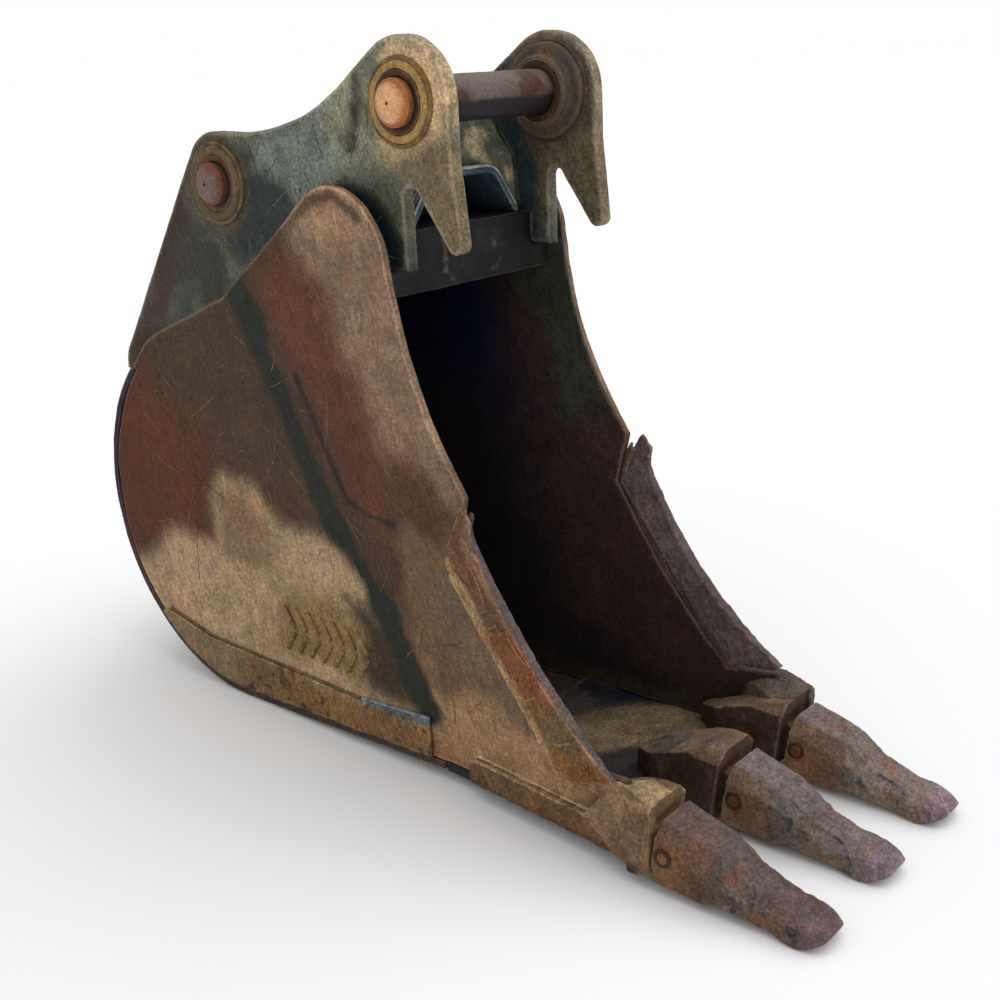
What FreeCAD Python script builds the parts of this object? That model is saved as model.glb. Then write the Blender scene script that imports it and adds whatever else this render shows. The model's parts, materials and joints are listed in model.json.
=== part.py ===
import FreeCAD, Part
import math
import os
import Sketcher

os.makedirs("parts", exist_ok=True)
V = FreeCAD.Vector
doc = FreeCAD.newDocument("trenching_bucket")

# ---------------------------------------------------------------------------
# Driving dimensions, millimetres and degrees.
# X runs towards the teeth, Y across the bucket, Z up. The ground is Z = 0.
# ---------------------------------------------------------------------------
DIMS = {
    "front_pin_x": 57, "front_pin_z": 1236,
    "rear_pin_x": -441, "rear_pin_z": 1089,
    "pin_radius": 40, "pin_half_length": 238, "pin_chamfer": 7, "bush_clearance": 0.05,
    "bush_radius": 52, "boss_radius_front": 67, "boss_radius_rear": 71,
    "boss_height": 9, "inner_boss_radius_front": 86, "inner_boss_radius_rear": 70,
    "inner_step_front": 16, "inner_collar_front": 35, "inner_step_rear": 12,
    "ear_inner": 179, "ear_plate": 27, "ear_head_front": 107, "ear_head_rear": 95,
    "side_inner": 206, "side_plate": 15, "flare_degrees": 4.2,
    "wrapper_plate": 14, "wrapper_half_width": 224, "heel_radius": 406,
    "heel_x": -497, "top_plate": 12, "beam_plate": 14, "beam_face_x": 9,
    "beam_low": 907, "beam_ledge": 1020, "hood_plate": 12, "well_radius": 142,
    "lip_plate": 22, "lip_top": 40, "cutter_plate": 25,
    "shroud_plate": 16, "heel_wear_plate": 10,
    "tooth_pitch": 217, "tooth_rear_x": 592, "lock_pin_radius": 11,
    "lock_pin_length": 97, "lock_pin_x": 620, "lock_pin_z": 70,
}
sheet = doc.addObject("Spreadsheet::Sheet", "Dims")
for row, (alias, value) in enumerate(DIMS.items(), start=1):
    sheet.set("A%d" % row, alias)
    sheet.set("B%d" % row, str(value))
    sheet.setAlias("B%d" % row, alias)
doc.recompute()


def dim(name):
    return float(sheet.get(name))


EAR_OUTER = dim("ear_inner") + dim("ear_plate")
FRONT_PIN = (dim("front_pin_x"), dim("front_pin_z"))
REAR_PIN = (dim("rear_pin_x"), dim("rear_pin_z"))
HEEL = (dim("heel_x"), dim("heel_radius"))
WRAPPER_END = (95.0, 24.6)
# The rolled wrapper runs straight for 4 mm where it meets the top sheet, at 45 degrees.
BACK_END = tuple(HEEL[i] + (dim("heel_radius") * (-1, 1)[i] + 4) * math.sqrt(0.5) for i in (0, 1))

# The side plates are bent along this line; the strip in front of it flares outwards.
BEND_TOP = V(-365, 0, 935)
BEND_LOW = V(100, 0, 60)
ALONG = (BEND_LOW - BEND_TOP).normalize()
FORWARD = V(-ALONG.z, 0, ALONG.x)
FLARE = math.tan(math.radians(dim("flare_degrees")))


# ---------------------------------------------------------------------------
# Outline helpers: every outline is a list of lines and arcs in a sketch's plane.
# ---------------------------------------------------------------------------
def line(a, b):
    return Part.LineSegment(V(a[0], a[1], 0), V(b[0], b[1], 0))


def tangent(item_a, item_b):
    """Ends of the straight run between two signed circles (x, y, r).

    r > 0 turns left around the centre, r < 0 turns right, r = 0 is a corner.
    """
    dx, dy = item_b[0] - item_a[0], item_b[1] - item_a[1]
    heading = math.atan2(dy, dx) - math.asin((item_b[2] - item_a[2]) / math.hypot(dx, dy))
    left = (-math.sin(heading), math.cos(heading))
    start = (item_a[0] - item_a[2] * left[0], item_a[1] - item_a[2] * left[1])
    end = (item_b[0] - item_b[2] * left[0], item_b[1] - item_b[2] * left[1])
    return start, end


def arc_about(item, start, end):
    """The arc of one signed circle from start to end."""
    a0 = math.atan2(start[1] - item[1], start[0] - item[0])
    a1 = math.atan2(end[1] - item[1], end[0] - item[0])
    if item[2] < 0:
        a0, a1 = a1, a0
    if a1 < a0:
        a1 += 2 * math.pi
    circle = Part.Circle(V(item[0], item[1], 0), V(0, 0, 1), abs(item[2]))
    return Part.ArcOfCircle(circle, a0, a1)


def belt(items):
    """Closed outline that runs round signed circles and corners in turn."""
    runs = [tangent(items[i], items[(i + 1) % len(items)]) for i in range(len(items))]
    geometry = []
    for i, item in enumerate(items):
        start, end = runs[i - 1][1], runs[i][0]
        if abs(item[2]) > 1e-9 and math.dist(start, end) > 1e-6:
            geometry.append(arc_about(item, start, end))
        geometry.append(line(*runs[i]))
    return geometry


def path(points):
    """Closed outline of corners (x, y) and arcs (mid x, mid y, x, y) to the next corner."""
    geometry = []
    last = points[-1][-2:]
    for point in points:
        if len(point) == 2:
            geometry.append(line(last, point))
        else:
            mid, end = point[:2], point[2:]
            geometry.append(Part.Arc(V(*last, 0), V(*mid, 0), V(*end, 0)))
        last = point[-2:]
    return geometry


def corner_circle(before, corner, after):
    """Signed circle that rounds corner (x, y, r) between two others."""
    a = V(before[0] - corner[0], before[1] - corner[1], 0).normalize()
    b = V(after[0] - corner[0], after[1] - corner[1], 0).normalize()
    half = a.getAngle(b) / 2
    centre = V(corner[0], corner[1], 0) + (a + b).normalize() * (corner[2] / math.sin(half))
    turns_left = (b.cross(a)).z < 0
    return (centre.x, centre.y, corner[2] if not turns_left else -corner[2])


def bent(corners):
    """Signed circles of a bent sheet's outer face from its corners (x, y, bend radius)."""
    items = []
    for i, corner in enumerate(corners):
        if corner[2] == 0:
            items.append((corner[0], corner[1], 0.0))
        else:
            items.append(corner_circle(corners[i - 1], corner, corners[i + 1]))
    return items


def shifted(items, distance):
    """The same run moved to its right-hand side."""
    return [(x, y, r + distance) for x, y, r in items]


def open_run(items):
    runs = [tangent(items[i], items[i + 1]) for i in range(len(items) - 1)]
    geometry = []
    for i, run in enumerate(runs):
        geometry.append(line(*run))
        if i + 1 < len(runs) and abs(items[i + 1][2]) > 1e-9:
            geometry.append(arc_about(items[i + 1], run[1], runs[i + 1][0]))
    return geometry, runs[0][0], runs[-1][1]


def sheet_section(items, thickness):
    """Closed section of a bent sheet whose outer face follows items."""
    outer, outer_a, outer_b = open_run(items)
    inner, inner_a, inner_b = open_run(shifted(items, thickness))
    return outer + inner + [line(outer_a, inner_a), line(outer_b, inner_b)]


# ---------------------------------------------------------------------------
# Solid helpers
# ---------------------------------------------------------------------------
def origin_plane(body, role):
    return [feature for feature in body.Origin.OriginFeatures if feature.Role == role][0]


def new_sketch(body, role, geometry):
    sketch = body.newObject("Sketcher::SketchObject", body.Name + "_outline")
    sketch.AttachmentSupport = [(origin_plane(body, role), "")]
    sketch.MapMode = "FlatFace"
    sketch.addGeometry(geometry, False)
    return sketch


def new_body(name):
    body = doc.addObject("PartDesign::Body", name)
    body.Label = name
    return body


def pad(body, sketch, length, reverse=False):
    feature = body.newObject("PartDesign::Pad", body.Name + "_pad")
    feature.Profile = sketch
    if isinstance(length, str):
        feature.setExpression("Length", length)
    else:
        feature.Length = length
    feature.Reversed = reverse
    sketch.Visibility = False
    body.Tip = feature
    return feature


def plate(name, geometry, y_low, y_high, length=None):
    """Flat plate with its outline in the XZ plane, from y_low up to y_high."""
    body = new_body(name)
    sketch = new_sketch(body, "XZ_Plane", geometry)
    pad(body, sketch, length or (y_high - y_low))
    body.Placement.Base = V(0, y_high, 0)
    return body


def slab(name, geometry, z_low, z_high):
    """Flat plate with its outline in the XY plane."""
    body = new_body(name)
    sketch = new_sketch(body, "XY_Plane", geometry)
    pad(body, sketch, z_high - z_low)
    body.Placement.Base = V(0, 0, z_low)
    return body


def rail(name, start, along, forward, section, length, before=0.0):
    """Bar along a line in the XZ plane; section points are (forward, -Y)."""
    body = new_body(name)
    sketch = new_sketch(body, "XY_Plane", path(section))
    pad(body, sketch, length + before)
    turn = FreeCAD.Rotation(forward, V(0, -1, 0), along, "ZXY")
    body.Placement = FreeCAD.Placement(start - along * before, turn)
    return body


def turned(name, centre, profile):
    """Ring or pin turned about an axis along Y; profile points are (radius, y)."""
    body = new_body(name)
    sketch = new_sketch(body, "XY_Plane", path(profile))
    feature = body.newObject("PartDesign::Revolution", name + "_turn")
    feature.Profile = sketch
    feature.ReferenceAxis = (sketch, ["V_Axis"])
    feature.Angle = 360
    sketch.Visibility = False
    body.Tip = feature
    body.Placement.Base = V(centre[0], 0, centre[1])
    return body


def common(name, shapes):
    item = doc.addObject("Part::MultiCommon", name)
    item.Shapes = shapes
    item.Label = name
    return item


def cut(name, base, tools):
    item = doc.addObject("Part::Cut", name)
    item.Base = base
    item.Tool = tools[0] if len(tools) == 1 else fused(name + "_tools", tools)
    item.Label = name
    return item


def fused(name, shapes):
    item = doc.addObject("Part::MultiFuse", name)
    item.Shapes = shapes
    return item


NODES = []


def keep(item, name):
    """Name a finished sub-part and put it on the list to export."""
    item.Label = name
    NODES.append(item)
    return item


SIDES = (("near", -1), ("far", 1))


def span(sign, low, high):
    """Y range of something that lies from low to high off the middle plane."""
    return (low, high) if sign > 0 else (-high, -low)


# ---------------------------------------------------------------------------
# Shell: wrapper, top sheet, side plates
# ---------------------------------------------------------------------------
TOP_SHEET = bent([
    (BACK_END[0] + 0.4, BACK_END[1] + 0.4, 0), (-712, 762, 120), (-443, 871, 200), (-229, 1039, 150),
    (-111.7, 1081.4, 0)])


# Outer face of the pocket's hood, in the plane across the bucket.
ARCH = bent([(-164, 1001.5, 0), (-84, 1110, 40), (84, 1110, 40), (164, 1001.5, 0)])


def flare_section(low, high):
    """Section across the bend of a plate from low to high off the middle plane."""
    rear, front = -900.0, 620.0
    return [(rear, low), (0, low), (front, low + FLARE * front),
            (front, high + FLARE * front), (0, high), (rear, high)]


def flare_slab(name, sign, low, high):
    points = [(x, -sign * y) for x, y in flare_section(low, high)]
    return rail(name, BEND_TOP, ALONG, FORWARD, points, 1400, before=500)


def inside_bay():
    """Everything between the two side plates' inner faces."""
    inner = dim("side_inner")
    front = 620.0
    points = [(-900, -inner), (0, -inner), (front, -inner - FLARE * front),
              (front, inner + FLARE * front), (0, inner), (-900, inner)]
    return rail("bay", BEND_TOP, ALONG, FORWARD, points, 1400, before=500)


def back_wrapper():
    heel = (HEEL[0], HEEL[1], -dim("heel_radius"))
    section = sheet_section([WRAPPER_END + (0,), heel, BACK_END + (0,)], dim("wrapper_plate"))
    half = dim("wrapper_half_width")
    keep(plate("back_wrapper", section, -half, half, "Dims.wrapper_half_width * 2"), "back_wrapper")


def top_sheet(bay):
    section = sheet_section(TOP_SHEET, dim("top_plate"))
    blank = plate("top_sheet_blank", section, -260, 260)
    keep(common("top_sheet", [blank, bay]), "top_sheet")


def side_plates():
    """Outline: heel, lip, front edge with the cutter's seat, rounded top, upper rear edge."""
    inner_radius = dim("heel_radius") - dim("wrapper_plate") - 0.3
    heel = (HEEL[0], HEEL[1], inner_radius)
    step_angle = math.radians(134.25)

    def at_step(radius):
        return (HEEL[0] + radius * math.cos(step_angle), HEEL[1] + radius * math.sin(step_angle), 0)

    outline = belt([
        heel, (95, 39.2, 0), (95, 40.3, 0), (538, 40.3, 0), (538, 172, 0), (430, 160, 0), (379, 210, 0),
        (279, 330, 0), (172, 492, 0), (196, 590, 0), (742, 1031, -700), (-92, 970, 132),
        (-536, 1034, -180), (-645, 662, 120), at_step(dim("heel_radius")), at_step(inner_radius + 0.05)])
    plates = {}
    for tag, sign in SIDES:
        low, high = span(sign, 200, 290)
        blank = plate("side_blank_" + tag, outline, low, high)
        bend = flare_slab("side_bend_" + tag, sign, dim("side_inner"), dim("side_inner") + dim("side_plate"))
        plates[tag] = keep(common("side_plate_" + tag, [blank, bend]), "side_plate_" + tag)
    return plates


# ---------------------------------------------------------------------------
# Hanger: ears, torque box between them, pocket and well
# ---------------------------------------------------------------------------
def ear_plates():
    """Round heads about both pins, concave back, V notch below the front pin."""
    seat = shifted(TOP_SHEET, -0.3)
    first, last = tangent(seat[0], seat[1])[0], tangent(seat[-2], seat[-1])[1]
    outline = belt([
        (163, 1012, 18), (450, 1165, -286), FRONT_PIN + (dim("ear_head_front"),), (-365, 1694, -510),
        REAR_PIN + (dim("ear_head_rear"),), (-742, 690, 78), (-821, 684, 0), (-801.5, 677.3, 0),
        first + (0,)] + seat[1:-1] + [last + (0,), (-107.2, 1083.4, 0), (-107, 1018.5, 0),
                                      (-43, 957, 0), (54, 957, 0), (67, 1083, -14), (73, 1083, -14)])
    for tag, sign in SIDES:
        low, high = span(sign, dim("ear_inner"), EAR_OUTER)
        body = plate("ear_plate_" + tag, outline, low, high, "Dims.ear_plate")
        bore_eye(body, FRONT_PIN)
        bore_eye(body, REAR_PIN)
        keep(body, "ear_plate_" + tag)


def bore_eye(body, centre):
    """Round hole through a plate for its bush."""
    circle = Part.Circle(V(centre[0], centre[1], 0), V(0, 0, 1), dim("bush_radius"))
    sketch = new_sketch(body, "XZ_Plane", [circle])
    sketch.addConstraint(Sketcher.Constraint("Radius", 0, dim("bush_radius")))
    sketch.setExpression("Constraints[0]", "Dims.bush_radius")
    pocket = body.newObject("PartDesign::Pocket", body.Name + "_eye")
    pocket.Profile = sketch
    pocket.Type = "ThroughAll"
    pocket.Midplane = True
    sketch.Visibility = False
    body.Tip = pocket


def torque_box(bay):
    """Front plate, sloped floor, pocket ledge and pocket back between the ears."""
    face, low, ledge = dim("beam_face_x"), dim("beam_low"), dim("beam_ledge")
    wall = dim("beam_plate")
    inner = dim("ear_inner") - 0.3
    chord_top = 956.5
    front = [(face - wall, low), (face, low), (face, ledge), (face - wall, ledge)]
    wide = plate("beam_front_wide", path(front[:2] + [(face, chord_top), (face - wall, chord_top)]), -260, 260)
    narrow = plate("beam_front_narrow", path(front), -inner, inner)
    blank = fused("beam_front_blank", [wide, narrow])
    keep(common("cross_beam_front", [blank, bay]), "cross_beam_front")

    floor_section = [(face - wall, low), (-107.3, 1006), (-107.3, 1018), (-48, 957), (face - wall, 924)]
    blank = plate("beam_floor_blank", path(floor_section), -260, 260)
    keep(common("cross_beam_floor", [blank, bay]), "cross_beam_floor")

    ledge_section = [(-93, ledge - wall), (face - wall, ledge - wall), (face - wall, ledge), (-93, ledge)]
    keep(plate("pocket_ledge", path(ledge_section), -inner, inner), "pocket_ledge")
    back_section = [(-107, 1019), (-93, 1019), (-93, 1132), (-107, 1127)]
    keep(plate("pocket_back", path(back_section), -inner, inner), "pocket_back")


def pocket_hood():
    """Bent plate that arches over the pocket, flat on top with sloped sides."""
    section = sheet_section(ARCH, dim("hood_plate"))
    body = new_body("pocket_hood_blank")
    sketch = new_sketch(body, "YZ_Plane", section)
    pad(body, sketch, 100)
    body.Placement.Base = V(-92.5, 0, 0)
    above = slab("pocket_hood_room", path([(-120, -170), (20, -170), (20, 170), (-120, 170)]), 1020.4, 1140)
    keep(common("pocket_hood", [body, above]), "pocket_hood")


def well_plate():
    """Face plate above the hood, rolled about the front pin, with the pocket's mouth cut out."""
    radius = dim("well_radius")
    thickness = 12.0
    inner = dim("ear_inner") - 0.3

    def on_arc(distance, degrees):
        angle = math.radians(degrees)
        return (FRONT_PIN[0] + distance * math.cos(angle), FRONT_PIN[1] + distance * math.sin(angle))

    low_out, low_in = (-20.0, 1020.5), (-32.0, 1020.5)
    top, middle, foot = 175, 203, 232
    section = path([
        low_out, on_arc(radius, foot), on_arc(radius, middle) + on_arc(radius, top),
        on_arc(radius + thickness, top), on_arc(radius + thickness, middle) + on_arc(radius + thickness, foot),
        low_in])
    body = new_body("well_plate_blank")
    sketch = new_sketch(body, "XZ_Plane", section)
    pad(body, sketch, 2 * inner)
    body.Placement.Base = V(0, inner, 0)
    mouth, first, last = open_run(shifted(ARCH, -0.3))
    tool = new_body("well_mouth")
    low_first, low_last = (first[0], 1000), (last[0], 1000)
    sill = [line(first, low_first), line(low_first, low_last), line(low_last, last)]
    sketch = new_sketch(tool, "YZ_Plane", mouth + sill)
    pad(tool, sketch, 200)
    tool.Placement.Base = V(-150, 0, 0)
    keep(cut("well_plate", body, [tool]), "well_plate")


# ---------------------------------------------------------------------------
# Pins, bushes and bosses
# ---------------------------------------------------------------------------
def ring_profile(r_in, r_out, y_in, y_out, bevel):
    """Flat ring from face y_in to face y_out, with its outer rim bevelled at y_out."""
    step = math.copysign(bevel, y_out - y_in)
    return [(r_in, y_in), (r_out, y_in), (r_out, y_out - step), (r_out - bevel, y_out), (r_in, y_out)]


def pin_hardware(end, centre):
    bush, pin = dim("bush_radius"), dim("pin_radius")
    outer_radius = dim("boss_radius_" + end)
    inner_radius = dim("inner_boss_radius_" + end)
    collar = dim("inner_collar_front") if end == "front" else dim("inner_step_rear")
    step = dim("inner_step_" + end)
    for tag, sign in SIDES:
        face_out = EAR_OUTER + dim("boss_height")
        profile = ring_profile(bush, outer_radius, sign * EAR_OUTER, sign * face_out, 4)
        name = "outer_boss_%s_%s" % (end, tag)
        keep(turned(name, centre, profile), name)

        face_in = dim("ear_inner")
        profile = ring_profile(bush, inner_radius, sign * face_in, sign * (face_in - step), 4)
        if end == "front":
            tip = sign * (face_in - collar)
            bevel = sign * 5
            profile = profile[:-1] + [(64, sign * (face_in - step)), (64, tip + bevel), (59, tip), (bush, tip)]
        name = "inner_boss_%s_%s" % (end, tag)
        keep(turned(name, centre, profile), name)

        y_in, y_out = sign * (face_in - collar), sign * face_out
        bore = pin + dim("bush_clearance")
        lead = sign * 1.5
        profile = [(bore, y_in + lead), (bore + 1.5, y_in), (bush, y_in), (bush, y_out),
                   (bore + 1.5, y_out), (bore, y_out - lead)]
        name = "bush_%s_%s" % (end, tag)
        keep(turned(name, centre, profile), name)
    keep(hinge_pin(end + "_pin", centre, end == "rear"), end + "_pin")


def hinge_pin(name, centre, ringed):
    """Plain pin with chamfered ends and a centre hole; the rear one has a ring groove."""
    half, radius, chamfer = dim("pin_half_length"), dim("pin_radius"), dim("pin_chamfer")
    hole, depth = 4.0, 9.0
    groove = [(17, half), (18.5, half - 2), (20, half)] if ringed else []
    top = [(radius, half - chamfer), (radius - chamfer, half)] + groove[::-1]
    top += [(hole + 1, half), (hole, half - 1), (hole, half - depth), (0, half - depth - 3)]
    bottom = [(r, -y) for r, y in reversed(top)]
    return turned(name, centre, bottom + top)


# ---------------------------------------------------------------------------
# Cutting edge: lip, side cutters, shrouds, heel plates
# ---------------------------------------------------------------------------
def lip_plate():
    """Wedge-fronted plate that widens with the side plates' flare."""
    top, low = dim("lip_top"), dim("lip_top") - dim("lip_plate")
    section = path([(95.3, low), (515, low), (515, low + 6), (468, top), (95.3, top)])
    blank = plate("lip_section", section, -270, 270)
    rear, front = 220.9, 246.9
    outline = path([(90, -rear), (118, -rear), (520, -front), (520, front), (118, rear), (90, rear)])
    plan = slab("lip_plan", outline, 0, 60)
    return keep(common("lip_plate", [blank, plan]), "lip_plate")


def side_cutters(plates):
    """Thick lozenge that laps over the side plate and carries on in front of it."""
    outline = path([
        (531, 170), (341, 343, 226, 525), (229, 562), (205, 588), (163, 500),
        (156, 468), (166, 440), (394, 147), (437, 139)])
    inner = dim("side_inner")
    outer = inner + dim("side_plate") + dim("cutter_plate")
    seat_top, seat_low = V(172, 0, 492), V(425, 0, 160)
    along = (seat_low - seat_top).normalize()
    forward = V(-along.z, 0, along.x)
    cutters = {}
    for tag, sign in SIDES:
        low, high = span(sign, 200, 300)
        blank = plate("cutter_blank_" + tag, outline, low, high)
        lift = flare_slab("cutter_bend_" + tag, sign, inner, outer)
        block = common("cutter_block_" + tag, [blank, lift])
        # the inner face is ground back towards the cutting edge
        bevel = [(2, -sign * 190), (2, -sign * 227), (110, -sign * 272), (110, -sign * 190)]
        grind = rail("cutter_grind_" + tag, seat_top, along, forward, bevel, 700, before=250)
        cutters[tag] = keep(cut("side_cutter_" + tag, block, [plates[tag], grind]), "side_cutter_" + tag)
    return cutters


def corner_shrouds():
    """Bar along each end of the lip, following the flare."""
    section = path([(170, 32), (548, 27), (548, 80), (186, 84), (170, 74)])
    face = dim("side_inner") + dim("side_plate")
    bars = {}
    for tag, sign in SIDES:
        low, high = span(sign, 200, 300)
        blank = plate("shroud_blank_" + tag, section, low, high)
        block = flare_slab("shroud_bend_" + tag, sign, face, face + dim("shroud_plate"))
        bars[tag] = keep(common("corner_shroud_" + tag, [blank, block]), "corner_shroud_" + tag)
    return bars


def heel_wear_plates():
    radius = dim("heel_radius") - dim("wrapper_plate") - 4

    def on_heel(degrees):
        angle = math.radians(degrees)
        return (HEEL[0] + radius * math.cos(angle), HEEL[1] + radius * math.sin(angle))

    outline = path([
        on_heel(247) + on_heel(270), (66, 40.5), (62, 120), (-130, 104), (-600, 112), (-745, 142),
        on_heel(225)])
    for tag, sign in SIDES:
        face = dim("side_inner") + dim("side_plate")
        low, high = span(sign, face, face + dim("heel_wear_plate"))
        body = plate("heel_wear_" + tag, outline, low, high, "Dims.heel_wear_plate")
        keep(body, "heel_wear_" + tag)


# ---------------------------------------------------------------------------
# Ground engaging tools
# ---------------------------------------------------------------------------
def nose_sections(gap):
    """Side and plan outlines of the adapter's nose, grown by gap."""
    side = [(570, 34 - gap), (690 + gap, 46 - gap), (690 + gap, 72 + gap), (570, 114 + gap)]
    plan = [(570, -40 - gap), (690 + gap, -25 - gap), (690 + gap, 25 + gap), (570, 40 + gap)]
    return side, plan


def nose(name, y, gap):
    side, plan = nose_sections(gap)
    body_side = plate(name + "_side", path(side), y - 70, y + 70)
    moved = path([(px, y + py) for px, py in plan])
    body_plan = slab(name + "_plan", moved, 0, 160)
    return common(name, [body_side, body_plan])


def round_bar(name, y_low, y_high, radius):
    bar = doc.addObject("Part::Cylinder", name)
    bar.Radius = radius
    bar.Height = y_high - y_low
    bar.Placement = FreeCAD.Placement(
        V(dim("lock_pin_x"), y_high, dim("lock_pin_z")), FreeCAD.Rotation(V(1, 0, 0), 90))
    return bar


def adapter(tag, y, side, neighbours):
    """Weld-on adapter: two legs on the lip, collar, and the nose inside the tooth."""
    profile = path([
        (430, 6), (538, 6), (552, 18), (578, 18), (594, 150), (556, 148), (396, 84),
        (385, 72), (385, 20), (430, 20)])
    outer = path([(600, -61), (600, 61), (540, 60), (440, 50), (392, 18), (385, 6),
                  (385, -6), (392, -18), (440, -50), (540, -60)])
    if side:
        # the legs of a corner adapter stay on the inner side of the side plate
        outer = path([(600, -61 * side), (600, 61 * side), (549, 61 * side),
                      (549, 8 * side), (392, 3 * side), (385, -6 * side), (392, -18 * side),
                      (440, -50 * side), (540, -60 * side)])
    name = "adapter_" + tag
    blank = plate(name + "_side", profile, y - 70, y + 70)
    plan = slab(name + "_plan", outer, 0, 170)
    plan.Placement.Base = V(0, y, 0)
    crown = new_body(name + "_crown")
    shoulders = path([(-61, 0), (61, 0), (61, 128), (38, 152), (-38, 152), (-61, 128)])
    pad(crown, new_sketch(crown, "YZ_Plane", shoulders), 300)
    crown.Placement.Base = V(350, y, 0)
    body = common(name + "_body", [blank, plan, crown])
    whole = fused(name + "_whole", [body, nose(name + "_nose", y, 0)])
    bore = round_bar(name + "_bore", y - 80, y + 80, dim("lock_pin_radius") + 0.3)
    keep(cut(name, whole, [bore] + neighbours), name)


def tooth_sections():
    """Half widths and heights at each station from the socket to the tip."""
    return [(590, 58, 20, 104, 37, 132), (697, 55, 13, 83, 34, 108), (712, 55, 22, 79, 33, 103),
            (760, 51, 16, 56, 30, 70), (820, 45, 7, 40, 28, 52), (862, 38, 0, 34, 24, 48),
            (903, 20, 22, 36, 12, 46)]


def tooth(tag, y):
    """Chisel tooth with a box rear, a stepped underside and a rounded tip."""
    name = "tooth_" + tag
    body = new_body(name + "_blank")
    sketches = []
    lean = 8.0
    for x, low_half, low, side_top, top_half, top in tooth_sections():
        corners = [(-low_half, low), (low_half, low), (low_half, side_top), (top_half, top),
                   (-top_half, top), (-low_half, side_top)]
        sketch = new_sketch(body, "YZ_Plane", path(corners))
        sketch.AttachmentOffset = FreeCAD.Placement(V(0, 0, x), FreeCAD.Rotation(V(1, 0, 0), lean))
        sketches.append(sketch)
        lean = 0.0
    loft = body.newObject("PartDesign::AdditiveLoft", name + "_loft")
    loft.Profile = sketches[0]
    loft.Sections = sketches[1:]
    loft.Ruled = True
    body.Tip = loft
    for sketch in sketches:
        sketch.Visibility = False
    body.Placement.Base = V(0, y, 0)
    socket = nose(name + "_socket", y, 1.0)
    radius = dim("lock_pin_radius")
    bore = round_bar(name + "_bore", y - 80, y + 40, radius + 0.3)
    seat = round_bar(name + "_seat", y - 80, y - 54.5, 17)
    keep(cut(name, body, [socket, bore, seat]), name)


def lock_hardware(tag, y):
    radius, length = dim("lock_pin_radius"), dim("lock_pin_length")
    centre = (dim("lock_pin_x"), dim("lock_pin_z"))
    head = y - 59.5
    profile = [(0, head), (radius - 2, head), (radius, head + 2), (radius, head + length - 3),
               (radius - 3, head + length), (0, head + length)]
    name = "lock_pin_" + tag
    keep(turned(name, centre, profile), name)
    ring, back, front = 16.8, y - 54.5, y - 58.5
    profile = [(radius + 0.3, back), (ring, back), (ring, front + 1), (ring - 1, front), (radius + 0.3, front)]
    name = "lock_ring_" + tag
    keep(turned(name, centre, profile), name)


def build():
    bay = inside_bay()
    back_wrapper()
    top_sheet(bay)
    plates = side_plates()
    ear_plates()
    torque_box(bay)
    pocket_hood()
    well_plate()
    pin_hardware("front", FRONT_PIN)
    pin_hardware("rear", REAR_PIN)
    lip = lip_plate()
    cutters = side_cutters(plates)
    shrouds = corner_shrouds()
    heel_wear_plates()
    pitch = dim("tooth_pitch")
    for tag, sign in (("near", -1), ("middle", 0), ("far", 1)):
        around = [plates[tag], cutters[tag], shrouds[tag]] if sign else []
        adapter(tag, sign * pitch, sign, [lip] + around)
        tooth(tag, sign * pitch)
        lock_hardware(tag, sign * pitch)


def export():
    doc.recompute()
    for item in doc.Objects:
        if "Invalid" in item.State or "Error" in item.State:
            raise RuntimeError("%s did not compute: %s" % (item.Name, item.State))
    for item in NODES:
        shape = item.Shape
        if shape.isNull() or not shape.isValid() or not shape.Solids:
            raise RuntimeError("%s has no valid solid" % item.Label)
        if len(shape.Solids) != 1:
            print("solids", item.Label, len(shape.Solids), [round(s.Volume) for s in shape.Solids])
        shape.exportStep("parts/%s.step" % item.Label)


build()
export()
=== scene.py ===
"""Worn excavator bucket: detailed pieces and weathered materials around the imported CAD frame."""
import json
import math

import bmesh
import bpy
import numpy as np
from mathutils import Matrix, Vector
from mathutils.bvhtree import BVHTree
from mathutils.geometry import delaunay_2d_cdt


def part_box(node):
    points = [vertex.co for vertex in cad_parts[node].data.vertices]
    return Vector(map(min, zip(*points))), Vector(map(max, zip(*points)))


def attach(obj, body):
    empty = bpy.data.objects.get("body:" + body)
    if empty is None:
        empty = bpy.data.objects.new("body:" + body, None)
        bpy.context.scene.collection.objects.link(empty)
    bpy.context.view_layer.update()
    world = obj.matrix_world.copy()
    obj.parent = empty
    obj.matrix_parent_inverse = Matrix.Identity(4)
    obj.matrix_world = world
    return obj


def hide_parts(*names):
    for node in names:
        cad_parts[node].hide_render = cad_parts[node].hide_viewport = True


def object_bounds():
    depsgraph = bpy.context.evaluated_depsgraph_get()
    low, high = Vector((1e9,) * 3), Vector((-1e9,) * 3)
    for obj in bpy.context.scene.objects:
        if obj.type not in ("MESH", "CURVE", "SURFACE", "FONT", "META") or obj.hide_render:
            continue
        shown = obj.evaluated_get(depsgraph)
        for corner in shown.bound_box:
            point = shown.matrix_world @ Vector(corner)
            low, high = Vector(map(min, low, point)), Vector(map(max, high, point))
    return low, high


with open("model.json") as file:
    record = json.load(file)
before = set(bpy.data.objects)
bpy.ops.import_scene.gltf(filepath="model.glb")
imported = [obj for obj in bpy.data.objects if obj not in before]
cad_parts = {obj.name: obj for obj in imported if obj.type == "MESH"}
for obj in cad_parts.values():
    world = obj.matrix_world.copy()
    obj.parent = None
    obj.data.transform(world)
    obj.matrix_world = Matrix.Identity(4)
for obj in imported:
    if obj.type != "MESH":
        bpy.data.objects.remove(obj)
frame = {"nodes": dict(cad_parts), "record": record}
NODES = frame["nodes"]
cad_low, cad_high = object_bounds()
MM = 0.001
SIDES = (("near", -1), ("far", 1))
FRONT, REAR = (0.057, 1.236), (-0.441, 1.089)   # hinge pin axes, x and z
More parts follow.
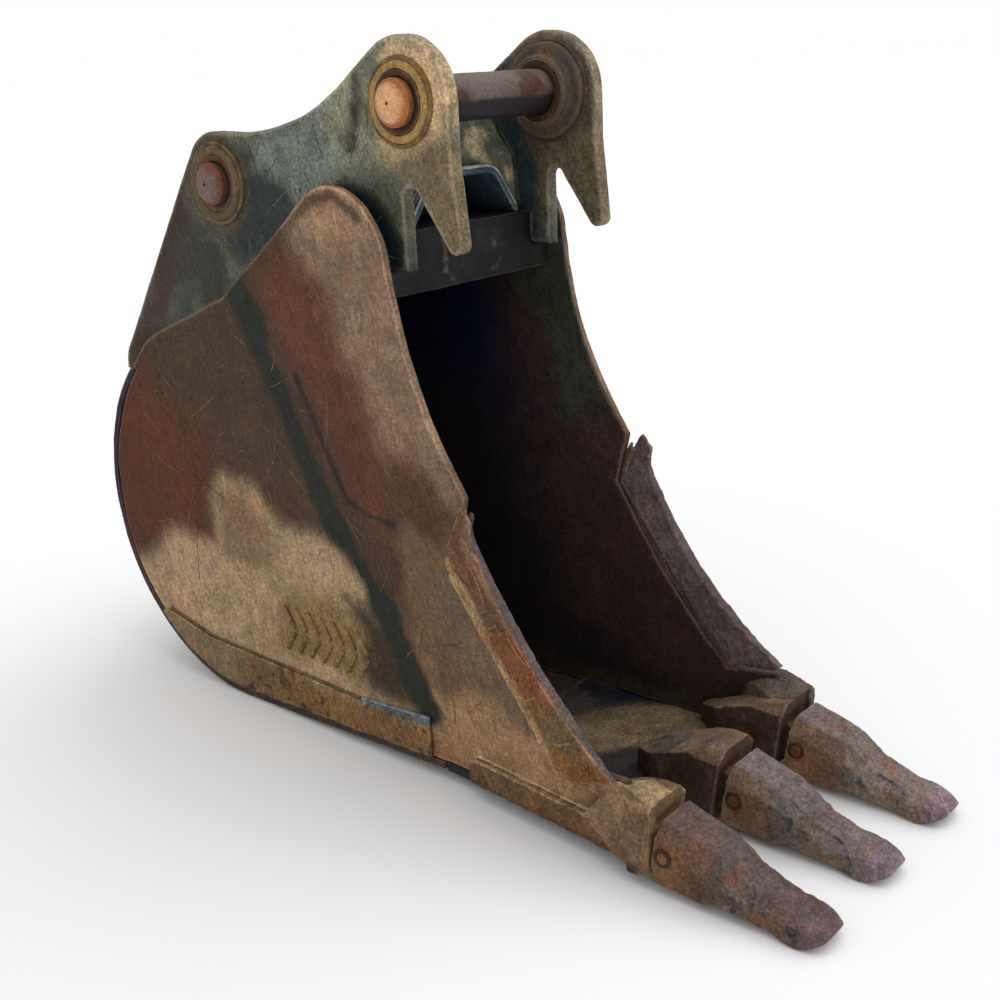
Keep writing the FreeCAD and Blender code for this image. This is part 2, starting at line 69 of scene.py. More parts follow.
HEEL, HEEL_RADIUS = (-0.497, 0.406), 0.406
SIDE_INNER, SIDE_PLATE = 0.206, 0.015
EAR_INNER, EAR_PLATE = 0.179, 0.027
SIDE_FACE = SIDE_INNER + SIDE_PLATE
HASH = (73856093, 19349663, 83492791)


# ---- Numbers: noise, masks and colours over arrays of points ----
def lattice(points, size, seed):
    """Smooth value noise, -1 to 1, with cells of the given size."""
    q = np.asarray(points, float) / size + 31.7 * seed
    base = np.floor(q).astype(np.int64)
    part = q - base
    part = part * part * (3 - 2 * part)
    total = np.zeros(len(q))
    for corner in range(8):
        step = np.array([corner & 1, corner >> 1 & 1, corner >> 2 & 1])
        cell = (base + step) * HASH
        n = cell[:, 0] ^ cell[:, 1] ^ cell[:, 2]
        n = ((n ^ (n >> 13)) * 1274126177) & 0xFFFFFFFF
        n = (n ^ (n >> 16)) & 0xFFFF
        weight = np.prod(np.where(step == 1, part, 1 - part), axis=1)
        total += weight * (n / 32767.5 - 1)
    return total


def fractal(points, size, seed, octaves=4):
    total = 0
    for k in range(octaves):
        total = total + lattice(points, size / 2 ** k, seed + k) / 2 ** k
    return total


def smooth(value, low, high):
    ramp = np.clip((value - low) / (high - low), 0, 1)
    return ramp * ramp * (3 - 2 * ramp)


def to_segments(flat, line):
    """Distance of 2-D points to a polyline."""
    best = np.full(len(flat), 1e9)
    for a, b in zip(line[:-1], line[1:]):
        a, b = np.array(a, float), np.array(b, float)
        along = np.clip((flat - a) @ (b - a) / max((b - a) @ (b - a), 1e-12), 0, 1)
        best = np.minimum(best, np.linalg.norm(flat - a - along[:, None] * (b - a), axis=1))
    return best


def inside(flat, loops):
    """Even-odd test of 2-D points against closed loops."""
    hit = np.zeros(len(flat), bool)
    for loop in loops:
        for (ax, ay), (bx, by) in zip(loop, np.roll(loop, -1, axis=0)):
            if ay == by:
                continue
            cross = (flat[:, 1] > ay) != (flat[:, 1] > by)
            hit ^= cross & (flat[:, 0] < ax + (flat[:, 1] - ay) * (bx - ax) / (by - ay))
    return hit


def line(flat, path, width, soft):
    """1 on a polyline given in mm, falling to 0 past its half width."""
    far = to_segments(flat, np.array(path, float) * MM)
    return 1 - smooth(far, (width - soft) * MM, (width + soft) * MM)


def area(flat, loop, soft):
    """1 inside a polygon given in mm, with a soft edge."""
    loop, reach = np.array(loop, float) * MM, 1.6 * soft * MM
    far = to_segments(flat, np.vstack([loop, loop[:1]]))
    return smooth(np.where(inside(flat, [loop]), far, -far), -reach, reach)


def rgb(code):
    """Linear colour of a hex sRGB code."""
    values = [int(code[i:i + 2], 16) / 255 for i in (0, 2, 4)]
    return np.array([v / 12.92 if v <= 0.04045 else ((v + 0.055) / 1.055) ** 2.4 for v in values])


def layered(points, base, layers, seed):
    """Colours from a base and (mask, code, raggedness) layers; masks' edges are broken by noise."""
    colours = np.tile(rgb(base), (len(points), 1))
    for i, (mask, code, ragged) in enumerate(layers):
        rough = mask + ragged * fractal(points, 0.09, seed + 11 * i, 5) * (mask > 0.01) * (mask < 0.999)
        rough = smooth(rough, 0.0, 1.0) if ragged else mask
        rough = rough * np.minimum(1, mask.max())
        colours += (rgb(code) - colours) * rough[:, None]
    return colours


# ---- Materials ----
class Shade:
    """Builder for one procedural material, in object coordinates (metres)."""

    def __init__(self, name):
        self.material = bpy.data.materials.new(name)
        self.material.use_nodes = True
        self.tree = self.material.node_tree
        self.tree.nodes.clear()
        self.place = self.tree.nodes.new("ShaderNodeTexCoord").outputs["Object"]

    def feed(self, socket, value):
        if isinstance(value, bpy.types.NodeSocket):
            self.tree.links.new(value, socket)
        elif hasattr(value, "__len__") and len(value) == 3 and socket.type == "RGBA":
            socket.default_value = (*value, 1)
        else:
            socket.default_value = value

    def node(self, kind, output, values, **settings):
        """A new node's output, with its settings and then its inputs given."""
        made = self.tree.nodes.new("ShaderNode" + kind)
        for key, value in settings.items():
            setattr(made, key, value)
        for key, value in values.items():
            self.feed(made.inputs[key], value)
        return made.outputs[output]

    def turned(self, angles, scale):
        turns, sizes = [math.radians(a) for a in angles], [1 / size for size in scale]
        return self.node("Mapping", "Vector", {"Vector": self.place, "Rotation": turns, "Scale": sizes},
                         vector_type="TEXTURE")

    def noise(self, scale, detail=6, rough=0.6, place=None, warp=0):
        return self.node("TexNoise", "Fac", {"Vector": place or self.place, "Scale": scale,
                                             "Detail": detail, "Roughness": rough, "Distortion": warp})

    def step(self, value, low, high, start=0, end=1):
        values = {"From Min": low, "From Max": high, "To Min": start, "To Max": end, "Value": value}
        return self.node("MapRange", "Result", values, interpolation_type="SMOOTHSTEP")

    def op(self, kind, a, b=0):
        return self.node("Math", 0, {0: a, 1: b}, operation=kind)

    def mix(self, factor, a, b, blend="MIX"):
        return self.node("Mix", 2, {0: factor, 6: a, 7: b}, data_type="RGBA", blend_type=blend)

    def toned(self, factor, colour, tone):
        """The colour, multiplied by the tone where the factor is 1."""
        return self.mix(factor, colour, self.mix(1.0, colour, tone, "MULTIPLY"))

    def attribute(self, name, output="Color"):
        return self.node("Attribute", output, {}, attribute_name=name)

    def scratches(self, angle, length, width, amount, seed):
        """Thin broken streaks at an angle in the plane of the sides."""
        place = self.turned((0, angle, seed), (length, length, width))
        streak = self.noise(1, 2, 0.5, place, 0.12)
        patch = self.noise(7 + seed, 3, 0.5)
        thin = self.step(streak, 0.72 - 0.05 * amount, 0.77 - 0.05 * amount)
        return self.op("MULTIPLY", thin, self.step(patch, 0.53, 0.66))

    def done(self, colour, rough, metallic, height, depth):
        bump = self.node("Bump", "Normal", {"Strength": 1.0, "Distance": depth, "Height": height})
        surface = self.node("BsdfPrincipled", "BSDF", {
            "Base Color": colour, "Roughness": rough, "Specular IOR Level": 0.28, "Metallic": metallic,
            "Normal": bump})
        output = self.tree.nodes.new("ShaderNodeOutputMaterial")
        self.tree.links.new(surface, output.inputs["Surface"])
        return self.material


def weathered(name, rust=0.4, stain=0.4, specks=0.3, scratch=0.4, wear="8a7468", pit=1.0,
              roughness=0.72, metallic=0.2, contrast=1.0, grain=1.0):
    """Rusty, stained and scratched steel over the painted tint that each piece carries."""
    s = Shade(name)
    tint = s.attribute("tint")
    edge = s.attribute("edge", "Fac")
    broad = s.noise(7, 9, 0.62)
    blotch = s.noise(23 * grain, 8, 0.68, warp=0.4)
    fine = s.noise(170 * grain, 6, 0.75)
    dots = s.noise(620 * grain, 3, 0.6)
    spread = 0.20 * contrast
    shade = s.step(s.op("ADD", s.op("MULTIPLY", broad, 0.4), s.op("MULTIPLY", blotch, 0.6)),
                   0.36, 0.64, 1 - spread, 1 + spread)
    colour = s.mix(1.0, tint, shade, "MULTIPLY")
    rusted = s.op("MULTIPLY", s.step(s.noise(11, 9, 0.7, warp=0.8), 0.5, 0.66), rust)
    colour = s.toned(rusted, colour, (1.35, 0.90, 0.60))
    mottle = s.step(fine, 0.3, 0.72, 1 - 0.32 * contrast, 1 + 0.36 * contrast)
    colour = s.mix(1.0, colour, mottle, "MULTIPLY")
    dark = s.op("MULTIPLY", s.step(s.noise(27 * grain, 12, 0.76, warp=1.2), 0.54, 0.68), stain)
    colour = s.toned(dark, colour, (0.36, 0.34, 0.34))
    light = s.op("MULTIPLY", s.step(dots, 0.60, 0.68), s.step(s.noise(19, 6, 0.7), 0.42, 0.6))
    colour = s.toned(s.op("MULTIPLY", light, specks), colour, (2.5, 2.3, 2.1))
    colour = s.toned(s.op("MULTIPLY", s.step(dots, 0.38, 0.31), specks), colour, (0.35, 0.33, 0.33))
    chipped = s.step(s.noise(48 * grain, 5, 0.8, warp=2.0), 0.64, 0.665)
    chipped = s.op("MULTIPLY", s.op("MULTIPLY", chipped, s.step(s.noise(8, 4), 0.46, 0.58)), stain)
    colour = s.toned(chipped, colour, (0.42, 0.40, 0.40))
    brushed = s.noise(1, 7, 0.72, s.turned((0, 72, 3), (24, 24, 95)), 0.8)
    brushed = s.step(brushed, 0.34, 0.68, 1 - 0.13 * contrast, 1 + 0.16 * contrast)
    colour = s.mix(1.0, colour, brushed, "MULTIPLY")
    long = s.scratches(38, 6, 330, 0.6, 1)
    cross = s.scratches(-24, 9, 420, 0.4, 4)
    steep = s.scratches(74, 12, 520, 0.4, 8)
    streaks = s.op("MAXIMUM", long, s.op("MAXIMUM", cross, steep))
    colour = s.toned(s.op("MULTIPLY", streaks, scratch), colour, (2.2, 2.1, 2.0))
    worn = s.step(s.op("ADD", edge, s.op("MULTIPLY", s.op("ADD", fine, blotch), 0.55)), 0.85, 1.3)
    colour = s.mix(1.0, colour, s.op("ADD", 1.0, s.op("MULTIPLY", worn, 0.75)), "MULTIPLY")
    colour = s.mix(s.op("MULTIPLY", worn, 0.22), colour, rgb(wear))
    rough = s.step(s.op("SUBTRACT", blotch, s.op("MULTIPLY", worn, 0.25)), 0.25, 0.75,
                   roughness - 0.14, roughness + 0.14)
    height = s.op("ADD", s.op("MULTIPLY", fine, 0.8 * pit), s.op("MULTIPLY", dots, 0.35 * pit))
    height = s.op("ADD", height, s.op("MULTIPLY", blotch, 1.3 * pit))
    height = s.op("SUBTRACT", height, s.op("MULTIPLY", streaks, 0.4))
    height = s.op("SUBTRACT", height, s.op("MULTIPLY", chipped, 0.7))
    height = s.op("ADD", height, s.op("MULTIPLY", brushed, 0.5 * pit))
    return s.done(colour, rough, metallic, height, 0.0012)


PLATE = weathered("worn_plate", rust=0.4, stain=0.55, specks=0.8, scratch=0.8, contrast=1.3)
EAR = weathered("scratched_paint", rust=0.15, stain=0.65, specks=0.6, scratch=0.7, roughness=0.62,
                contrast=1.5)
INNER = weathered("dark_inside", rust=0.1, stain=0.5, specks=0.15, scratch=0.35, roughness=0.6,
                  wear="5a4a40")
CAST = weathered("rough_casting", rust=0.45, stain=0.7, specks=0.9, scratch=0.5, pit=2.2,
                 wear="927c74", metallic=0.25, contrast=1.5)
GOUGED = weathered("gouged_steel", rust=0.3, stain=0.5, specks=0.95, scratch=0.4, pit=2.4, contrast=1.6)
PIN = weathered("rusted_pin", rust=0.4, stain=0.4, specks=0.5, scratch=0.4, pit=0.5, roughness=0.55,
                contrast=0.9, metallic=0.35, wear="a8735a")
BEAD = weathered("weld_bead", rust=0.3, stain=0.3, specks=0.4, scratch=0.0, pit=0.6, wear="9a856f")
RUBBER = weathered("lock_rubber", rust=0.0, stain=0.2, specks=0.3, scratch=0.0, metallic=0.0,
                   roughness=0.85, wear="3a342f")


# ---- Pieces ----
def arrays(mesh):
    """The vertices' places and normals."""
    points, normals = np.empty((2, len(mesh.vertices), 3))
    mesh.vertices.foreach_get("co", points.reshape(-1))
    mesh.vertices.foreach_get("normal", normals.reshape(-1))
    return points, normals


def set_points(mesh, points):
    mesh.vertices.foreach_set("co", np.asarray(points, float).ravel())
    mesh.update()


def curvature(mesh, rounds):
    """Convexity of each vertex, smoothed over its neighbours, scaled by the edge length."""
    points, normals = arrays(mesh)
    pairs = np.empty(len(mesh.edges) * 2, np.int64)
    mesh.edges.foreach_get("vertices", pairs)
    a, b = pairs.reshape(-1, 2).T
    count = np.bincount(np.r_[a, b], minlength=len(points)).clip(1)

    def averaged(values):
        out = np.empty_like(values)
        for k in range(values.shape[1]):
            out[:, k] = np.bincount(np.r_[a, b], np.r_[values[b, k], values[a, k]], len(points)) / count
        return out

    size = np.linalg.norm(points[a] - points[b], axis=1).mean()
    bend = -((averaged(points) - points) * normals).sum(1)[:, None] / size
    for _ in range(rounds):
        bend = 0.5 * bend + 0.5 * averaged(bend)
    return bend[:, 0]


def dress(name, mesh, body, material, tint, edge, nodes=()):
    """Turns a mesh into a piece: colours, material, what it rides on and what it replaces."""
    colours = mesh.attributes.new("tint", "FLOAT_COLOR", "POINT")
    rgba = np.ones((len(mesh.vertices), 4))
    rgba[:, :3] = np.clip(tint, 0, 1)
    colours.data.foreach_set("color", rgba.ravel())
    worn = mesh.attributes.new("edge", "FLOAT", "POINT")
    worn.data.foreach_set("value", np.clip(edge, 0, 1))
    mesh.materials.clear()
    mesh.materials.append(material)
    mesh.shade_smooth()
    piece = bpy.data.objects.new(name, mesh)
    bpy.context.scene.collection.objects.link(piece)
    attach(piece, body)
    if nodes:
        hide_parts(*nodes)
    return piece


def welded_copy(node):
    """The CAD node's mesh with its split corners joined, as a bmesh."""
    shape = bmesh.new()
    shape.from_mesh(NODES[node].data)
    bmesh.ops.remove_doubles(shape, verts=shape.verts, dist=2e-6)
    return shape


def body_of(node):
    return next(b for b, group in frame["record"]["behaviour"]["bodies"].items() if node in group)


def skinned(mesh, voxel, rounds):
    """An even fine skin over a mesh, and its convex edges."""
    blank = bpy.data.objects.new("blank", mesh)
    bpy.context.scene.collection.objects.link(blank)
    remesh = blank.modifiers.new("skin", "REMESH")
    remesh.mode = "VOXEL"
    remesh.voxel_size = voxel
    relax = blank.modifiers.new("relax", "SMOOTH")
    relax.iterations = rounds
    relax.factor = 0.5
    skin = bpy.data.meshes.new_from_object(blank.evaluated_get(bpy.context.evaluated_depsgraph_get()))
    bpy.data.objects.remove(blank)
    return skin, smooth(curvature(skin, 2), 0.03, 0.16)


def casting(node, voxel, rough, seed, tint, material=CAST, shape=None, rounds=2):
    """Remeshes a CAD node to an even fine skin and roughens it along its normals."""
    source = welded_copy(node)
    mesh = bpy.data.meshes.new(node + "_skin")
    source.to_mesh(mesh)
    source.free()
    skin, edge = skinned(mesh, voxel, rounds)
    points, normals = arrays(skin)
    lift = rough * (0.65 * fractal(points, 0.035, seed, 4) + 0.35 * fractal(points, 0.009, seed + 5, 2))
    lift = lift - rough * 0.5 - edge * rough * 0.8 * (1 + lattice(points, 0.012, seed + 9))
    moved = points + normals * lift[:, None]
    if shape:
        moved = moved + shape(points, normals)
    low, high = [np.array(v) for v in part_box(node)]
    moved = np.clip(moved, low, high)
    set_points(skin, moved)
    points, normals = arrays(skin)
    return dress(node + "_piece", skin, body_of(node), material, tint(points, normals),
                 edge, [node])


# Plates: an outline with holes, meshed evenly and given a worn rounded rim ---
def flat_loops(node, facing):
    """Loops of the CAD node's face that looks along +Y or -Y, in the XZ plane, in metres."""
    shape = welded_copy(node)
    faces = {f for f in shape.faces if f.normal.y * facing > 0.9}
    edges = [e for e in shape.edges if sum(f in faces for f in e.link_faces) == 1]
    links = {}
    for e in edges:
        for v in e.verts:
            links.setdefault(v, []).append(e)
    loops, used = [], set()
    for e in edges:
        if e in used:
            continue
        start, here = e.verts
        loop = [start]
        used.add(e)
        while here != start:
            loop.append(here)
            e = next(n for n in links[here] if n not in used)
            used.add(e)
            here = e.other_vert(here)
        loops.append(np.array([(v.co.x, v.co.z) for v in loop]))
    shape.free()
    return oriented(loops)


def area_of(loop):
    x, y = loop.T
    return 0.5 * float(np.sum(x * np.roll(y, -1) - y * np.roll(x, -1)))


def oriented(loops):
    """The outer loop first and anticlockwise, the holes clockwise."""
    loops = sorted(loops, key=lambda loop: -abs(area_of(loop)))
    return [loop if (area_of(loop) > 0) == (i == 0) else loop[::-1] for i, loop in enumerate(loops)]


def evened(loop, step):
    """The loop with points no further apart than step, and short runs thinned."""
    out = []
    for a, b in zip(loop, np.roll(loop, -1, axis=0)):
        count = max(1, math.ceil(np.linalg.norm(b - a) / step))
        out += [a + (b - a) * k / count for k in range(count)]
    kept = [out[0]]
    for p in out[1:]:
        if np.linalg.norm(p - kept[-1]) > step * 0.35:
            kept.append(p)
    if np.linalg.norm(kept[-1] - kept[0]) < step * 0.35:
        kept.pop()
    return np.array(kept)


def inset(loop, distance):
    after, before = np.roll(loop, -1, axis=0), np.roll(loop, 1, axis=0)
    along = after - before
    along /= np.linalg.norm(along, axis=1)[:, None]
    return loop + np.stack([-along[:, 1], along[:, 0]], 1) * distance


def plate_mesh(name, loops, thickness, step, bevel, place, jag=0.0, seed=1):
    """
    Even mesh of a plate. place(u, v, w) puts plane point (u, v) at depth w (0 to thickness)
    in space. Returns the mesh and each vertex's nearness to the rim.
    """
    outer = []
    for loop in loops:
        loop = evened(loop, step * 0.8)
        if jag:
            at = np.c_[loop, np.zeros(len(loop))]
            bite = jag * np.maximum(0, fractal(at, 0.06, seed, 4) + 0.3)
            loop = loop + (inset(loop, 1) - loop) * bite[:, None]
        outer.append(loop)
    inner = [inset(loop, bevel) for loop in outer]
    low, high = outer[0].min(0), outer[0].max(0)
    rows = np.arange(low[1], high[1], step * 0.866)
    grid = np.array([(x, y) for k, y in enumerate(rows)
                     for x in np.arange(low[0] + (k % 2) * step / 2, high[0], step)])
    grid = grid[inside(grid, inner)]
    for loop in inner:
        grid = grid[to_segments(grid, np.vstack([loop, loop[:1]])) > step * 0.45]
    flat = [Vector(p) for loop in inner for p in loop] + [Vector(p) for p in grid]
    border, count = [], 0
    for loop in inner:
        n = len(loop)
        border += [(count + k, count + (k + 1) % n) for k in range(n)]
        count += n
    points, _, faces, origin, _, _ = delaunay_2d_cdt(flat, border, [], 0, 1e-7)
    points = np.array([tuple(p) for p in points])
    faces = np.array(faces)
    centres = points[faces].mean(1)
    faces = faces[inside(centres, inner)]
    first = {}
    for k, sources in enumerate(origin):
        for source in sources:
            first[source] = k
    total = len(points)
    uvw = [np.c_[points, np.full(total, thickness)], np.c_[points, np.zeros(total)]]
    rim = np.zeros(total)
    rim[[first[k] for k in range(count)]] = 1
    near_rim = [rim, rim]
    polygons = [tuple(f) for f in faces] + [tuple(f[::-1] + total) for f in faces]
    size, begin = 2 * total, 0
    middle = max(1, int(round((thickness - 2 * bevel) / 0.006)))
    depths = [(bevel * 0.3, thickness - bevel * 0.3)]
    depths += [(0, thickness - bevel - (thickness - 2 * bevel) * k / middle) for k in range(middle + 1)]
    depths += [(bevel * 0.3, bevel * 0.3)]
    for loop in outer:
        n = len(loop)
        ring = [first[begin + k] for k in range(n)]
        rings = [ring]
        for back, depth in depths:
            rings.append(list(range(size, size + n)))
            uvw.append(np.c_[inset(loop, back), np.full(n, depth)])
            near_rim.append(np.full(n, 1.0 if back else 0.5))
            size += n
        rings.append([k + total for k in ring])
        for upper, lower in zip(rings[:-1], rings[1:]):
            polygons += [(upper[k], lower[k], lower[(k + 1) % n], upper[(k + 1) % n]) for k in range(n)]
        begin += n
    mesh = bpy.data.meshes.new(name)
    mesh.from_pydata(place(np.vstack(uvw)), [], polygons)
    mesh.validate()
    mesh.update()
    return mesh, np.concatenate(near_rim)


def outward(mesh):
    """Makes the closed mesh's faces look out."""
    shape = bmesh.new()
    shape.from_mesh(mesh)
    if shape.calc_volume(signed=True) < 0:
        bmesh.ops.reverse_faces(shape, faces=shape.faces)
        shape.to_mesh(mesh)
    shape.free()
    mesh.update()


def roughen(mesh, wide, narrow, seed, limit=None):
    """Dents and waves of a worked plate, along its normals."""
    points, normals = arrays(mesh)
    lift = wide * fractal(points, 0.16, seed, 3) + narrow * fractal(points, 0.03, seed + 3, 3)
    moved = points + normals * (lift - wide * 0.6 - narrow * 0.6)[:, None]
    if limit:
        moved = np.clip(moved, *[np.array(v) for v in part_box(limit)])
    set_points(mesh, moved)
    return arrays(mesh)


def plate_piece(node, facing, thickness, step, bevel, place, tint, material, jag, seed, wide=0.0008,
                narrow=0.0003, loops=None):
    loops = loops or flat_loops(node, facing)
    mesh, rim = plate_mesh(node + "_skin", loops, thickness, step, bevel, place, jag, seed)
    outward(mesh)
    points, normals = roughen(mesh, wide, narrow, seed, node)
    return dress(node + "_piece", mesh, body_of(node), material,
                 tint(points, normals), rim * 0.8, [node])


# ---- Side plates ----
BEND_TOP, BEND_LOW = np.array([-0.365, 0.935]), np.array([0.100, 0.060])
FLARE = math.tan(math.radians(4.2))


def ahead_of_bend(x, z):
    along = (BEND_LOW - BEND_TOP) / np.linalg.norm(BEND_LOW - BEND_TOP)
    return (x - BEND_TOP[0]) * -along[1] + (z - BEND_TOP[1]) * along[0]


def flared(x, z):
    """How far the flare carries a side plate outwards, with a rounded bend."""
    ahead = ahead_of_bend(x, z)
    soft = 0.012
    return FLARE * 0.5 * (ahead + np.sqrt(ahead * ahead + soft * soft) - soft)


def side_tint(points, normals):
    flat = points[:, [0, 2]]
    outer = normals[:, 1] * np.sign(points[:, 1]) > -0.3
    x, z = flat.T
    layers = [
        (area(flat, [(-960, 120), (-700, 330), (-560, 350), (-545, 500), (-560, 640), (-700, 720),
         (-960, 800)], 40), "542d16", 0.35),
        (area(flat, [(-800, 800), (-640, 640), (-480, 560), (-330, 560), (-330, 920), (-430, 930)], 60),
         "473624", 0.4),
        (area(flat, [(-960, 60), (-860, 215), (-700, 330), (-560, 350), (-545, 440), (-500, 490),
         (-410, 490), (-330, 415), (-170, 415), (-20, 300), (60, 130), (100, 0), (-960, 0)], 28), "a78d6c",
         0.3),
        (area(flat, [(-560, 320), (-530, 450), (-490, 480), (-420, 480), (-350, 400), (-380, 320)], 30),
         "866c50", 0.25),
        (area(flat, [(-180, 330), (0, 300), (60, 120), (-120, 120), (-130, 240)], 30), "3e3121", 0.35),
        (area(flat, [(-380, 150), (-350, 270), (-200, 290), (-130, 250), (-140, 150)], 30), "856d45", 0.4),
        (area(flat, [(-350, 950), (-310, 860), (-240, 740), (-120, 520), (-60, 450), (60, 470), (90, 520),
         (30, 660), (-30, 800), (-110, 900), (-180, 990)], 26), "5d3724", 0.3),
        (area(flat, [(-270, 1130), (-180, 985), (-110, 900), (-60, 780), (60, 560), (180, 560), (120, 800),
         (20, 1060), (-60, 1130)], 45), "826953", 0.4),
        (area(flat, [(-230, 1120), (-130, 1010), (-40, 1020), (10, 1060), (-90, 1130)], 30), "997c5d", 0.3),
        (area(flat, [(40, 520), (190, 520), (330, 330), (560, 140), (560, 40), (70, 40), (0, 300)], 30),
         "6f553b", 0.35),
        (area(flat, [(60, 440), (160, 440), (340, 220), (300, 160), (120, 260)], 30), "6b5842", 0.45),
        (area(flat, [(60, 200), (300, 200), (420, 100), (420, 40), (60, 40)], 30), "977855", 0.5),
        (area(flat, [(-10, 490), (135, 510), (150, 630), (10, 630)], 22), "553926", 0.5),
        (line(flat, [(-420, 930), (-345, 800), (-270, 640), (-175, 480), (-95, 375), (-30, 290), (20, 200),
         (55, 130)], 30, 18), "21261e", 0.55),
        (line(flat, [(-245, 740), (-225, 700), (-130, 520), (-70, 500), (0, 500)], 6, 5), "2a1f19", 0.9),
        (line(flat, [(-235, 1010), (-150, 1075), (-80, 1085), (-20, 1050)], 9, 8), "5a4434", 0.5),
        (area(flat, [(-960, 0), (-960, 120), (-800, 60), (-650, 22), (90, 22), (90, 0)], 12), "352a23",
         0.3),
    ]
    colours = layered(points, "4a3526", layers, 3)
    inner_layers = [
        # Painted shade: near-black blue high up on the inside face, for the shadow under the top sheet.
        (smooth(z, 0.45, 0.85) * smooth(-x, -0.2, 0.1), "020f33", 0.2),
        (area(flat, [(-150, 900), (60, 900), (250, 560), (420, 300), (520, 130), (300, 60), (60, 200)], 60),
         "402d2c", 0.3),
        (area(flat, [(-60, 1100), (30, 1060), (160, 640), (60, 640), (-60, 900)], 40), "3a3d31", 0.5),
        (smooth(-z, -0.11, -0.05), "3d3328", 0.3),
    ]
    inside_colours = layered(points, "251e23", inner_layers, 50)
    return np.where(outer[:, None], colours, inside_colours)


def side_place(sign):
    def place(uvw):
        x, z, depth = uvw.T
        return np.c_[x, sign * (SIDE_INNER + depth + flared(x, z)), z]
    return place


for tag, sign in SIDES:
    plate_piece("side_plate_" + tag, sign, SIDE_PLATE, 0.0085, 0.003, side_place(sign), side_tint, PLATE,
                0.0022, 20 + sign, wide=0.0012)


# ---- Ears ----
def ear_tint(points, normals):
    flat = points[:, [0, 2]]
    x, z = flat.T
    side = np.sign(points[:, 1])
    outer = normals[:, 1] * side > -0.3
    head = np.hypot(x - FRONT[0], z - FRONT[1])
    rear = np.hypot(x - REAR[0], z - REAR[1])
    layers = [
        (area(flat, [(-850, 640), (-560, 1180), (-470, 1160), (-560, 960), (-700, 700)], 35), "382718",
         0.4),
        (area(flat, [(-560, 900), (-330, 1000), (-250, 1190), (-330, 1130), (-420, 960), (-640, 780)], 50),
         "1d2724", 0.5),
        (area(flat, [(-300, 1000), (-60, 1090), (-60, 1240), (-150, 1240), (-330, 1130)], 50), "6b736a",
         0.45),
        (area(flat, [(-150, 1200), (0, 1330), (120, 1340), (0, 1150), (-80, 1130)], 30), "7e7e68", 0.4),
        (smooth(-head, -0.135, -0.06) * smooth(x, -0.02, 0.05), "cdae82", 0.35),
        (area(flat, [(20, 1180), (190, 1180), (200, 990), (150, 980), (80, 1090), (20, 1100)], 25),
         "6e6046", 0.35),
        (area(flat, [(0, 1130), (60, 1130), (70, 950), (-60, 950), (-60, 1020)], 25), "515344", 0.35),
        (area(flat, [(-410, 920), (-330, 950), (-245, 1010), (-235, 1090), (-300, 1130), (-370, 1110)], 22),
         "2a3230", 1.1),
        (area(flat, [(-640, 860), (-440, 890), (-400, 1000), (-480, 1020), (-600, 1000)], 26), "32312a",
         0.9),
        (area(flat, [(-80, 1150), (-35, 1150), (-28, 1290), (-62, 1290)], 12), "2a2720", 1.0),
        (line(flat, [(-85, 1070), (-35, 1050), (20, 1000), (30, 950)], 26, 20), "1a2223", 0.8),
        (smooth(-rear, -0.105, -0.085), "4c4334", 0.3),
    ]
    colours = layered(points, "585949", layers, 7)
    inner_layers = [
        (smooth(-head, -0.14, -0.07), "66584a", 0.35),
        (area(flat, [(10, 1200), (190, 1200), (200, 980), (40, 960), (10, 1040)], 30), "665c46", 0.4),
        (area(flat, [(-140, 1100), (0, 1180), (20, 940), (-140, 940)], 40), "243337", 0.5),
    ]
    inner_colours = layered(points, "363f3b", inner_layers, 61)
    return np.where(outer[:, None], colours, inner_colours)


def ear_place(sign):
    def place(uvw):
        return np.c_[uvw[:, 0], sign * (EAR_INNER + uvw[:, 2]), uvw[:, 1]]
    return place


for tag, sign in SIDES:
    plate_piece("ear_plate_" + tag, sign, EAR_PLATE, 0.0085, 0.004, ear_place(sign), ear_tint, EAR, 0.0015,
                30 + sign, wide=0.0006)


# ---- Rolled and bent sheets: the back wrapper and the top sheet ----
def rounded(corners, step=0.01):
    """Polyline in mm through corners (x, y, bend radius)."""
    points = []
    for k, (x, y, radius) in enumerate(corners):
        here = np.array([x, y], float)
        if not radius:
            points.append(here)
            continue
        a = np.array(corners[k - 1][:2], float) - here
        b = np.array(corners[k + 1][:2], float) - here
        a, b = a / np.linalg.norm(a), b / np.linalg.norm(b)
        half = math.acos(np.clip(a @ b, -1, 1)) / 2
        reach = radius / math.tan(half)
        centre = here + (a + b) / np.linalg.norm(a + b) * radius / math.sin(half)
        start, end = here + a * reach - centre, here + b * reach - centre
        turn = math.atan2(start[0] * end[1] - start[1] * end[0], start @ end)
        count = max(2, int(abs(turn) * radius * MM / step))
        for i in range(count + 1):
            t = turn * i / count
            c, s = math.cos(t), math.sin(t)
            points.append(centre + (start[0] * c - start[1] * s, start[0] * s + start[1] * c))
    return np.array(points) * MM


def along_line(route, run):
    """Points and right-hand normals at distances along a polyline, and its length."""
    lengths = np.r_[0, np.cumsum(np.linalg.norm(np.diff(route, axis=0), axis=1))]
    at = np.stack([np.interp(run, lengths, route[:, k]) for k in (0, 1)], 1)
    ways = np.gradient(route, lengths, axis=0)
    way = np.stack([np.interp(run, lengths, ways[:, k]) for k in (0, 1)], 1)
    way /= np.linalg.norm(way, axis=1)[:, None]
    return at, np.stack([way[:, 1], -way[:, 0]], 1), lengths[-1]


